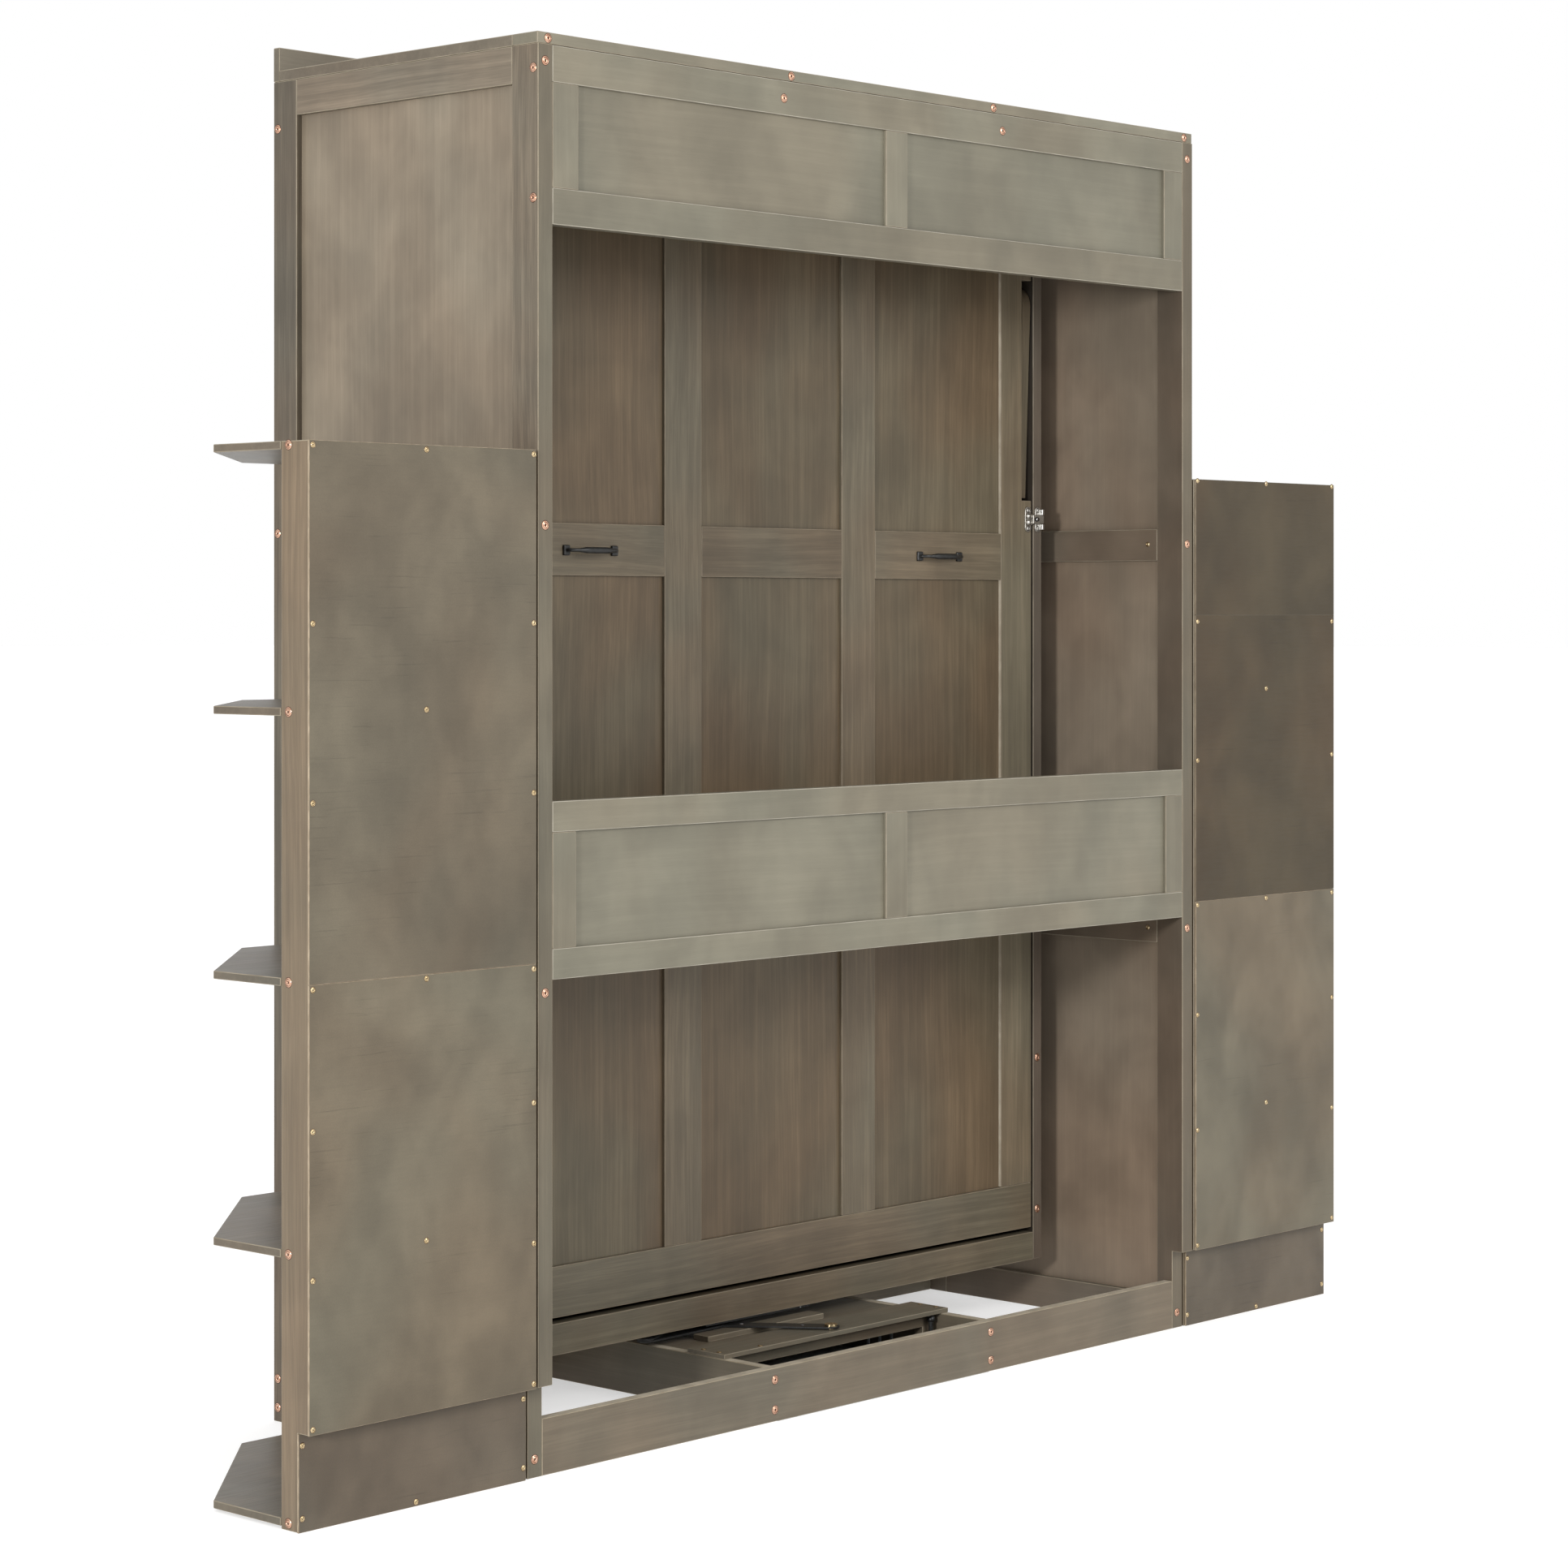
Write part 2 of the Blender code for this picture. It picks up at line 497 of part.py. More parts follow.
def bed():
    bed_face()
    bed_inside()
    for label, side in SIDES:
        handle(label, side)
        leg(label, side)


# --- towers -----------------------------------------------------------------
def tower(label, side):
    """An open corner shelf: post, inner side, two back sheets, plinth and shelves."""
    inner_face = TOWER_IN + TOWER_SIDE_T
    outer_face = TOWER_OUT - TOWER_SIDE_T
    for name, x, reach in (("side", (TOWER_IN, inner_face), TOWER_DEPTH),
                           ("post", (outer_face, TOWER_OUT), POST_W)):
        upright = box(f"tower_{name}_{label}", mirrored(side, *x), (depth(0), depth(reach)),
                      (0, TOWER_TOP), WOOD)
        cut_box(upright, mirrored(side, x[0] - BEYOND, x[1] + BEYOND),
                (depth(-BEYOND), depth(SKIRTING_D)), (-BEYOND, SKIRTING_H))

    sheet_x = mirrored(side, TOWER_IN, TOWER_OUT)
    sheet_y = (depth(-PLY_T), depth(-GAP))
    box(f"tower_back_upper_{label}", sheet_x, sheet_y, (PLY_SPLIT + GAP, TOWER_TOP), PLYWOOD)
    box(f"tower_back_lower_{label}", sheet_x, sheet_y, (SKIRTING_H, PLY_SPLIT), PLYWOOD)
    box(f"tower_plinth_{label}", sheet_x, (depth(SKIRTING_D - PLY_T), depth(SKIRTING_D - GAP)),
        (0, SKIRTING_H - GAP), PLYWOOD)

    for number, middle in enumerate(SHELF_Z, start=1):
        rear = SKIRTING_D if middle < SKIRTING_H else 0.0
        points = [(inner_face + GAP, rear + GAP), (outer_face - GAP, rear + GAP),
                  (outer_face - GAP, POST_W + GAP), (TOWER_OUT, POST_W + GAP),
                  (TOWER_OUT, CHAMFER_D), (CHAMFER_X, TOWER_DEPTH),
                  (inner_face + GAP, TOWER_DEPTH)]
        under = middle - SHELF_T / 2
        outline(f"tower_shelf_{number}_{label}", [(side * x, depth(d), under) for x, d in points],
                (0, 0, SHELF_T), WOOD)


cabinet()
base()
arms()
revolving_box()
catch()
bed()
for side_label, side_sign in SIDES:
    tower(side_label, side_sign)
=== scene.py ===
import math

import bmesh
import bpy
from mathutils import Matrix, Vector


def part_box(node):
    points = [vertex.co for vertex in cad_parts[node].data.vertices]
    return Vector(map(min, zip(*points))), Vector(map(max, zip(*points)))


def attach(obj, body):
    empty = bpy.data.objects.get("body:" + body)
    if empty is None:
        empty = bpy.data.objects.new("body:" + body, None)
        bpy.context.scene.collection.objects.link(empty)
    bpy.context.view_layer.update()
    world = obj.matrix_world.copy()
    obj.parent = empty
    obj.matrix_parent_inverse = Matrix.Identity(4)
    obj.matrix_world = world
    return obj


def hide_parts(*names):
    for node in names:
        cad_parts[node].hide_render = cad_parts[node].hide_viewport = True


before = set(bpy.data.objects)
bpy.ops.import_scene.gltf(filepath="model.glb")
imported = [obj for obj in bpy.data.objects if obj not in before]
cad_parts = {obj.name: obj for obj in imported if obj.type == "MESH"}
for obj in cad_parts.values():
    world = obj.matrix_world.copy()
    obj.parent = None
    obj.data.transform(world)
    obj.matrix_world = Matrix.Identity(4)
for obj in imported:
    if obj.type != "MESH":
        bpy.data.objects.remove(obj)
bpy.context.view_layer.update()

# --- dimensions the looks need, in metres -------------------------------------
BACK_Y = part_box("header_frame")[1].y            # the cabinet's back plane
BED_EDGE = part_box("bed_face_frame")[1].x        # outer edge of the bed's face
BOX_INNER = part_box("box_side_right")[0].x       # inner face of the box's sides
STILE = 0.058                                   # cabinet side stiles
SIDE_RAILS = ((0.0, 0.060), (0.710, 0.768), (1.4165, 1.475), (2.128, 2.186))    # heights
SKIRTING_D, SKIRTING_H = 0.0234, 0.1425         # the notch for a skirting board
TOP_REAR_RAIL = 0.057                           # widths of the other rails and stiles
HEADER_RAIL, HEADER_STILE = 0.056, 0.055
HEADBOARD_RAIL, HEADBOARD_STILE = 0.047, 0.050
CENTRE_STILE = 0.055
FRONT_STILE = 0.085
BED_STILES = ((0.620, BED_EDGE), (0.178, 0.267))    # distances from the middle
BED_RAILS = ((0.169, 0.253), (1.381, 1.467), (2.013, 2.098))    # heights
LEG_SLOT_X, LEG_SLOT_Z = 0.681, (1.530, 1.942)
SHELF_HEIGHTS = (0.0105, 0.397, 0.788, 1.177, 1.561)    # of the posts' screws, one for each shelf
SHEET_SEAM = 1.316                              # joint in the left tower's upper sheet
INSET = 0.0013                                  # room for screw heads inside the CAD box
SEAM = 0.0021                                   # open line between a tower and the cabinet
JOINT = 0.0002                                  # open line between two boards
EDGE = 0.0012                                   # width of a worn, rounded edge
SIDES = (("left", -1), ("right", 1))


def depth(distance):
    """Y of a place this far in front of the cabinet's back plane."""
    return BACK_Y - distance


# --- shader helpers -----------------------------------------------------------
class Shader:
    """A small wrapper that keeps node graphs short to write and to read."""

    def __init__(self, name):
        self.material = bpy.data.materials.new(name)
        self.material.use_nodes = True
        self.tree = self.material.node_tree
        self.bsdf = self.tree.nodes["Principled BSDF"]

    def node(self, kind, inputs=None, **settings):
        made = self.tree.nodes.new(kind)
        for key, value in settings.items():
            setattr(made, key, value)
        for key, value in (inputs or {}).items():
            self.feed(made.inputs[key], value)
        return made

    def feed(self, socket, value):
        if isinstance(value, bpy.types.NodeSocket):
            self.tree.links.new(value, socket)
        else:
            socket.default_value = value

    def maths(self, operation, first, second=0.0, third=0.0):
        made = self.node("ShaderNodeMath", operation=operation)
        for socket, value in zip(made.inputs, (first, second, third)):
            self.feed(socket, value)
        return made.outputs[0]

    def vector(self, operation, first, second):
        made = self.node("ShaderNodeVectorMath", {0: first, 1: second}, operation=operation)
        return made.outputs["Value"] if operation == "DOT_PRODUCT" else made.outputs[0]

    def noise(self, coordinates, scale, detail=2.0, roughness=0.5, distortion=0.0):
        stretched = self.vector("MULTIPLY", coordinates, scale)
        made = self.node("ShaderNodeTexNoise", {
            "Vector": stretched, "Scale": 1.0, "Detail": detail,
            "Roughness": roughness, "Distortion": distortion})
        return made.outputs["Fac"]

    def ramp(self, value, low, high, to_low=0.0, to_high=1.0):
        made = self.node("ShaderNodeMapRange", {
            "Value": value, "From Min": low, "From Max": high,
            "To Min": to_low, "To Max": to_high}, interpolation_type="SMOOTHSTEP")
        return made.outputs[0]

    def mix(self, factor, first, second, blend="MIX"):
        made = self.node("ShaderNodeMix", data_type="RGBA", blend_type=blend)
        self.feed(made.inputs[0], factor)
        self.feed(made.inputs[6], first)
        self.feed(made.inputs[7], second)
        return made.outputs[2]

    def bump(self, height, strength, distance):
        made = self.node("ShaderNodeBump", {
            "Height": height, "Strength": strength, "Distance": distance})
        return made.outputs[0]

    def place(self):
        """Object coordinates, shifted by a different amount for each piece."""
        own = self.node("ShaderNodeObjectInfo").outputs["Random"]
        shift = self.vector("MULTIPLY", self.node(
            "ShaderNodeCombineXYZ", {0: own, 1: own, 2: own}).outputs[0], (31.0, 17.0, 23.0))
        coordinates = self.node("ShaderNodeTexCoord")
        return coordinates, self.vector("ADD", coordinates.outputs["Object"], shift), own

    def finish(self, colour, roughness, normal=None, **values):
        self.feed(self.bsdf.inputs["Base Color"], colour)
        self.feed(self.bsdf.inputs["Roughness"], roughness)
        if normal is not None:
            self.feed(self.bsdf.inputs["Normal"], normal)
        for key, value in values.items():
            self.bsdf.inputs[key.replace("_", " ")].default_value = value
        return self.material


def along(axis, grain, across):
    """Noise scale that is low along the grain and high across it."""
    return tuple(grain if letter == axis else across for letter in "XYZ")


AXES = {"X": (1, 0, 0), "Y": (0, 1, 0), "Z": (0, 0, 1)}


def tinted(colour, red, green, blue):
    return (colour[0] * red, colour[1] * green, colour[2] * blue, 1.0)


def stain(s, place, colour, cloud, hue):
    """A cloudy stain: its hue drifts between brown and green, its depth by patches."""
    drift = s.noise(place, (2.6, 2.6, 1.9), 2.0, 0.5, 0.3)
    patches = s.noise(place, (5.5, 5.5, 4.2), 3.0, 0.5, 0.5)
    haze = s.noise(place, (17.0, 17.0, 13.0), 2.0, 0.5)
    brown = tinted(colour, 1 + 0.035 * hue, 1 - 0.02 * hue, 1 - 0.06 * hue)
    green = tinted(colour, 1 - 0.035 * hue, 1 + 0.025 * hue, 1 + 0.045 * hue)
    tone = s.mix(s.ramp(drift, 0.33, 0.67), brown, green)
    value = s.ramp(patches, 0.30, 0.70, 1 + 0.11 * cloud, 1 - 0.11 * cloud)
    value = s.maths("MULTIPLY", value, s.ramp(haze, 0.3, 0.7, 1 - 0.04 * cloud, 1 + 0.04 * cloud))
    return tone, value


def shaded(s, colour, value):
    grey = s.node("ShaderNodeCombineColor", {0: value, 1: value, 2: value}).outputs[0]
    return s.mix(1.0, colour, grey, "MULTIPLY")


def wood(name, axis, colour, streak, cloud, hue, painted_shade_within=None):
    """Stained wood: pale lines and fine fibres along the grain, under a cloudy stain.

    Faces nearer to the middle than the last argument are darkened: a painted shade.
    """
    s = Shader(name)
    coordinates, place, own = s.place()
    sway = s.maths("MULTIPLY_ADD", s.noise(place, (1.6, 1.6, 1.6), 1.0), 0.030, -0.015)
    bent = s.vector("ADD", place, s.node(
        "ShaderNodeCombineXYZ", {0: sway, 1: sway, 2: sway}).outputs[0])
    bands = s.noise(bent, along(axis, 0.6, 24.0), 2.0, 0.5)
    lines = s.noise(bent, along(axis, 2.2, 105.0), 3.0, 0.62)
    fibres = s.noise(bent, along(axis, 12.0, 520.0), 2.0, 0.6)
    pores = s.noise(place, along(axis, 45.0, 1500.0), 1.0, 0.5)

    tone, value = stain(s, place, colour, cloud, hue)
    for layer, low, high, darker, paler in (
            (bands, 0.3, 0.7, 0.07, 0.07), (lines, 0.42, 0.68, 0.08, 0.20),
            (fibres, 0.3, 0.7, 0.10, 0.08)):
        value = s.maths("MULTIPLY", value,
                        s.ramp(layer, low, high, 1 - darker * streak, 1 + paler * streak))
    value = s.maths("MULTIPLY", value, s.ramp(pores, 0.26, 0.40, 0.93, 1.0))
    value = s.maths("MULTIPLY", value, s.ramp(own, 0.0, 1.0, 0.96, 1.04))
    facing = s.vector("DOT_PRODUCT", coordinates.outputs["Normal"], AXES[axis])
    value = s.maths("MULTIPLY", value, s.ramp(s.maths("ABSOLUTE", facing), 0.75, 0.95, 1.0, 0.78))
    if painted_shade_within is not None:
        # painted shade: faces within this distance of the middle are darkened
        across = s.node("ShaderNodeSeparateXYZ", {0: coordinates.outputs["Object"]}).outputs[0]
        value = s.maths("MULTIPLY", value, s.ramp(
            s.maths("ABSOLUTE", across), painted_shade_within, painted_shade_within + 0.0008, 0.3, 1.0))
    height = s.maths("MULTIPLY_ADD", fibres, 0.5, s.maths("MULTIPLY", pores, 0.5))
    return s.finish(shaded(s, tone, value), s.ramp(fibres, 0.3, 0.7, 0.38, 0.48),
                    s.bump(height, 0.20, 0.0003), Specular_IOR_Level=0.25, Coat_Weight=0.06,
                    Coat_Roughness=0.25)


def plywood(name, colour, hue):
    """A thin plywood back: cloudy stain over a face with short, clustered checks."""
    s = Shader(name)
    _, place, _ = s.place()
    checks = s.noise(place, (7.0, 7.0, 300.0), 3.0, 0.65, 0.25)
    clusters = s.noise(place, (4.0, 4.0, 6.0), 2.0, 0.5)
    weave = s.noise(place, (26.0, 26.0, 260.0), 2.0, 0.6)
    speckle = s.noise(place, (650.0, 650.0, 650.0), 2.0, 0.6)
    crack = s.maths("MULTIPLY", s.ramp(checks, 0.61, 0.68), s.ramp(clusters, 0.46, 0.60))

    tone, value = stain(s, place, colour, 1.6, hue)
    value = s.maths("MULTIPLY", value, s.ramp(weave, 0.3, 0.7, 0.975, 1.025))
    value = s.maths("MULTIPLY", value, s.ramp(speckle, 0.3, 0.7, 0.96, 1.04))
    value = s.maths("MULTIPLY", value, s.maths("MULTIPLY_ADD", crack, -0.14, 1.0))
    height = s.maths("SUBTRACT", s.maths("MULTIPLY", speckle, 0.12), crack)
    return s.finish(shaded(s, tone, value), s.ramp(weave, 0.3, 0.7, 0.42, 0.54),
                    s.bump(height, 0.20, 0.0004), Specular_IOR_Level=0.25)


def worn_edge(name, colour, layered=False):
    """The pale line along a sanded or cut edge."""
    s = Shader(name)
    _, place, _ = s.place()
    wear = s.noise(place, (24.0, 24.0, 24.0), 3.0, 0.6)
    tone = s.mix(s.ramp(wear, 0.3, 0.7), colour, tinted(colour, 0.74, 0.73, 0.71))
    if layered:
        plies = s.noise(place, (60.0, 1400.0, 60.0), 1.0, 0.5)
        tone = s.mix(s.ramp(plies, 0.45, 0.55, 0.0, 0.5), tone, tinted(colour, 0.4, 0.36, 0.32))
    return s.finish(tone, s.ramp(wear, 0.3, 0.7, 0.45, 0.6), Specular_IOR_Level=0.3)


def metal(name, dark, light, roughness, scratch=0.12, metallic=1.0):
    """Plated or coated metal with a slightly uneven surface."""
    s = Shader(name)
    _, place, _ = s.place()
    uneven = s.noise(place, (160.0, 160.0, 160.0), 3.0, 0.6)
    fine = s.noise(place, (1500.0, 1500.0, 1500.0), 2.0, 0.6)
    colour = s.mix(s.ramp(uneven, 0.3, 0.7), dark, light)
    rough = s.ramp(fine, 0.3, 0.7, roughness, roughness + scratch)
    return s.finish(colour, rough, s.bump(fine, 0.12, 0.0001), Metallic=metallic)


# colour, streak, cloud and hue drift of each kind of wood; the box adds the distance
# from the middle within which its faces are darkened by painted shade
KINDS = {
    "side": ((0.173, 0.144, 0.106), 0.40, 1.3, 0.9),
    "side_rail": ((0.135, 0.112, 0.083), 1.0, 0.9, 0.9),
    "stile": ((0.111, 0.088, 0.063), 1.15, 0.9, 1.2),
    "stile_edge": ((0.104, 0.087, 0.061), 0.40, 0.9, 1.0),
    "post": ((0.127, 0.097, 0.064), 0.80, 0.7, 0.8),
    "back": ((0.150, 0.136, 0.100), 0.22, 1.0, 0.5),
    "bed": ((0.109, 0.087, 0.058), 0.85, 0.9, 1.2),
    "bed_panel": ((0.093, 0.070, 0.043), 0.75, 1.1, 1.5),
    "box": ((0.086, 0.068, 0.052), 0.5, 0.8, 0.6, BOX_INNER),
    "inside": ((0.178, 0.138, 0.101), 0.20, 1.3, 0.8),
    "base": ((0.120, 0.100, 0.072), 0.50, 0.9, 1.0),
}
made_woods = {}


def stained(kind, axis, tone=1.0):
    """The wood of one kind with its grain along one axis, made once and shared."""
    key = (kind, axis, tone)
    if key not in made_woods:
        colour, *grain = KINDS[kind]
        name = f"wood_{kind}_{axis}_{round(tone * 100)}"
        made_woods[key] = wood(name, axis, tinted(colour, tone, tone, tone), *grain)
    return made_woods[key]


PLY = plywood("plywood_back", (0.102, 0.083, 0.057, 1.0), 0.9)
PLY_DARK = plywood("plywood_dark", (0.053, 0.038, 0.021, 1.0), 1.1)
PLY_LOWER = plywood("plywood_lower", (0.113, 0.094, 0.065, 1.0), 0.9)
PLY_PLINTH = plywood("plywood_plinth", (0.090, 0.073, 0.053, 1.0), 0.8)
EDGE_PALE = worn_edge("edge_pale", (0.290, 0.245, 0.174, 1.0))
EDGE_DIM = worn_edge("edge_dim", (0.165, 0.138, 0.100, 1.0))
EDGE_SOFT = worn_edge("edge_soft", (0.240, 0.205, 0.150, 1.0))
EDGE_BED = worn_edge("edge_bed", (0.195, 0.160, 0.113, 1.0))
EDGE_BRIGHT = worn_edge("edge_bright", (0.330, 0.305, 0.250, 1.0))
EDGE_BARE = worn_edge("edge_bare", (0.420, 0.370, 0.290, 1.0))
EDGE_PLY = worn_edge("edge_plywood", (0.330, 0.265, 0.185, 1.0), layered=True)
EDGE_SEAM = worn_edge("edge_seam", (0.095, 0.078, 0.054, 1.0))
BLACK = metal("black_coat", (0.009, 0.009, 0.009, 1), (0.018, 0.018, 0.017, 1), 0.30, 0.14, 0.3)
CHROME = metal("bright_plate", (0.52, 0.52, 0.51, 1), (0.72, 0.72, 0.71, 1), 0.12, 0.10)
SATIN = metal("satin_plate", (0.34, 0.325, 0.295, 1), (0.51, 0.49, 0.455, 1), 0.32, 0.12)
WHITE_PLATE = metal("white_plate", (0.80, 0.80, 0.79, 1), (0.92, 0.92, 0.91, 1), 0.36, 0.10)
COPPER = metal("copper_plate", (0.48, 0.25, 0.16, 1), (0.78, 0.50, 0.36, 1), 0.19, 0.12)
OLD_BRASS = metal("old_brass", (0.42, 0.31, 0.16, 1), (0.66, 0.53, 0.32, 1), 0.20, 0.12)
BRASS = metal("brass_plate", (0.55, 0.40, 0.20, 1), (0.78, 0.63, 0.38, 1), 0.17, 0.12)
# painted shadow for the screws' sockets, grooves and the ring round each head
SOCKET_SHADOW = metal("socket_shadow", (0.050, 0.020, 0.012, 1), (0.095, 0.040, 0.024, 1),
                  0.55, 0.1, 0.6)
GREY_STEEL = metal("grey_steel", (0.18, 0.19, 0.20, 1), (0.32, 0.34, 0.35, 1), 0.3, 0.15)


# --- makers -------------------------------------------------------------------
def place_mesh(name, shape, body, materials):
    """Turn a bmesh into a piece that rides on a CAD body."""
    bmesh.ops.recalc_face_normals(shape, faces=shape.faces)
    mesh = bpy.data.meshes.new(name)
    shape.to_mesh(mesh)
    shape.free()
    obj = bpy.data.objects.new(name, mesh)
    bpy.context.scene.collection.objects.link(obj)
    for material in materials:
        mesh.materials.append(material)
    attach(obj, body)
    return obj


def round_edges(obj, width=EDGE, segments=2, edge_slot=1):
    """Bevel the sharp edges; the bevel's faces take the worn edge's material."""
    bevel = obj.modifiers.new("edges", "BEVEL")
    bevel.width = width
    bevel.segments = segments
    bevel.limit_method = "ANGLE"
    bevel.angle_limit = math.radians(35)
    bevel.material = edge_slot
    return obj


def looks_inward(face):
    return face.normal.x * face.center.x < -0.5 * abs(face.center.x)


def looks_to_wall(face):
    return face.normal.y > 0.5


def looks_up(face):
    return face.normal.z > 0.5


def is_rim(face):
    return abs(face.normal.y) < 0.5


def slab(name, corners, run, body, material, edge=EDGE_SOFT, slot="wood", width=EDGE,
         others=()):
    """A board: a flat outline of corners, made thick along the vector run.

    Each of the others is a test and the material of the faces that pass it.
    """
    shape = bmesh.new()
    face = shape.faces.new([shape.verts.new(corner) for corner in corners])
    grown = bmesh.ops.extrude_face_region(shape, geom=[face])
    moved = [item for item in grown["geom"] if isinstance(item, bmesh.types.BMVert)]
    bmesh.ops.translate(shape, verts=moved, vec=run)
    obj = place_mesh(name, shape, body, [material, edge])
    for number, (passes, other) in enumerate(others, start=2):
        obj.data.materials.append(other)
        for face in obj.data.polygons:
            if passes(face):
                face.material_index = number
    return round_edges(obj, width)


def board(name, x, y, z, body, material, **options):
    """A straight board between pairs of limits."""
    (x0, x1), (y0, y1), (z0, z1) = sorted(x), sorted(y), sorted(z)
    corners = [(x0, y0, z0), (x1, y0, z0), (x1, y1, z0), (x0, y1, z0)]
    return slab(name, corners, (0, 0, z1 - z0), body, material, **options)


def finish_node(node, material, edge=EDGE_SOFT, width=EDGE, segments=2):
    """Keep a CAD node's shape, round its edges and give it a material."""
    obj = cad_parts[node]
    obj.data.materials.clear()
    for item in (material, edge):
        obj.data.materials.append(item)
    weld = obj.modifiers.new("weld", "WELD")
    weld.merge_threshold = 0.00002
    round_edges(obj, width, segments)


def turned(shape, profile, centre, axis, steps=24):
    """Add a turned form: (radius, height) points swept round an axis from a centre."""
    basis = Vector(axis).normalized().to_track_quat("Z", "Y").to_matrix()
    rings = []
    for radius, height in profile:
        if radius == 0:
            rings.append([shape.verts.new(Vector(centre) + basis @ Vector((0, 0, height)))])
            continue
        ring = []
        for step in range(steps):
            angle = 2 * math.pi * step / steps
            local = Vector((radius * math.cos(angle), radius * math.sin(angle), height))
            ring.append(shape.verts.new(Vector(centre) + basis @ local))
        rings.append(ring)
    join_rings(shape, rings, steps)


def join_rings(shape, rings, steps):
    """Skin rings of vertices; a ring of one vertex closes the form to a point."""
    for lower, upper in zip(rings, rings[1:]):
        for step in range(steps):
            after = (step + 1) % steps
            if len(lower) == 1:
                corners = (lower[0], upper[after], upper[step])
            elif len(upper) == 1:
                corners = (lower[step], lower[after], upper[0])
            else:
                corners = (lower[step], lower[after], upper[after], upper[step])
            shape.faces.new(corners).smooth = True


def swept(shape, path, radii, steps=20):
    """Add a round bar of changing radius along a path that lies level."""
    rings = [[shape.verts.new(path[0])]]
    for number, (point, radius) in enumerate(zip(path, radii)):
        ahead = path[min(number + 1, len(path) - 1)] - path[max(number - 1, 0)]
        across = ahead.cross(Vector((0, 0, 1))).normalized()
        ring = []
        for step in range(steps):
            angle = 2 * math.pi * step / steps
            ring.append(shape.verts.new(
                point + radius * (math.cos(angle) * across + math.sin(angle) * Vector((0, 0, 1)))))
        rings.append(ring)
    rings.append([shape.verts.new(path[-1])])
    join_rings(shape, rings, steps)


def block(shape, low, high, taper=1.0):
    """Add a block; its face towards the wall is scaled by taper."""
    middle, size = (low + high) / 2, high - low
    for vertex in bmesh.ops.create_cube(shape, size=1.0)["verts"]:
        scale = taper if vertex.co.y > 0 else 1.0
        vertex.co = middle + Vector((vertex.co.x * size.x * scale, vertex.co.y * size.y,
                                     vertex.co.z * size.z * scale))


def obround(shape, centre, width, height, thick, steps=12):
    """Add a plate with two round ends, its back at the centre point."""
    radius = min(width, height) / 2
    run = Vector((width / 2 - radius, 0, height / 2 - radius))
    start = 0 if height > width else -math.pi / 2
    ring = []
    for end in (1, -1):
        for step in range(steps + 1):
            angle = start + math.pi * (step / steps + (end < 0))
            ring.append(shape.verts.new(centre + end * run + Vector((
                radius * math.cos(angle), 0, radius * math.sin(angle)))))
    grown = bmesh.ops.extrude_face_region(shape, geom=[shape.faces.new(ring)])
    moved = [item for item in grown["geom"] if isinstance(item, bmesh.types.BMVert)]
    bmesh.ops.translate(shape, verts=moved, vec=(0, thick, 0))


def screw_head(shape, centre, axis, radius, rise, socket):
    """A low round head: a shadow ring round it, a groove, and a socket in the middle; all three
    are painted shadow, in the second material.
    """
    faces_before = len(shape.faces)
    # radii and heights from the foot of the ring to the floor of the socket
    turned(shape, [
        (0, -0.0006), (radius * 1.14, -0.0006), (radius * 1.14, 0.0001),
        (radius * 1.01, 0.0002), (radius * 0.97, rise * 0.5), (radius * 0.88, rise * 0.85),
        (radius * 0.79, rise * 0.80), (radius * 0.75, rise * 0.45),
        (radius * 0.68, rise * 0.50), (radius * 0.60, rise * 0.95), (socket * 1.25, rise),
        (socket, rise * 0.5), (socket * 0.9, rise * 0.08), (0, rise * 0.02)], centre, axis)
    shape.faces.ensure_lookup_table()
    for face in shape.faces[faces_before:]:
        face.smooth = True
        offset = (face.calc_center_median() - Vector(centre)).project(Vector(axis))
        lateral = (face.calc_center_median() - Vector(centre) - offset).length
        # painted shadow: the ring round the head, the groove and the socket take the dark material
        in_groove = radius * 0.69 < lateral < radius * 0.785
        if lateral < socket * 0.97 or lateral > radius * 1.01 or in_groove:
            face.material_index = 1


# radius, rise and socket radius of a screw head
LARGE, SMALL = (0.0068, 0.0012, 0.0019), (0.0043, 0.0011, 0.0011)
PLATE_SCREW, BAR_BOLT = (0.0042, 0.0012, 0.0016), (0.0016, 0.0010, 0.0006)
RIVET, STUD = (0.0040, 0.0010, 0.0012), (0.0050, 0.0022, 0.0014)


def screws(name, places, axis, body, plating=COPPER, form=LARGE, painted_shadow=SOCKET_SHADOW):
    """Make one piece of a set of like screws that share a direction."""
    shape = bmesh.new()
    for centre in places:
        screw_head(shape, centre, axis, *form)
    place_mesh(name, shape, body, [plating, painted_shadow])


# --- cabinet ------------------------------------------------------------------
def notched(x, reach, top):
    """Outline of an upright in its Y-Z plane, notched for a skirting board."""
    return [(x, depth(SKIRTING_D), 0), (x, depth(SKIRTING_D), SKIRTING_H),
            (x, depth(0), SKIRTING_H), (x, depth(0), top), (x, depth(reach), top),
            (x, depth(reach), 0)]


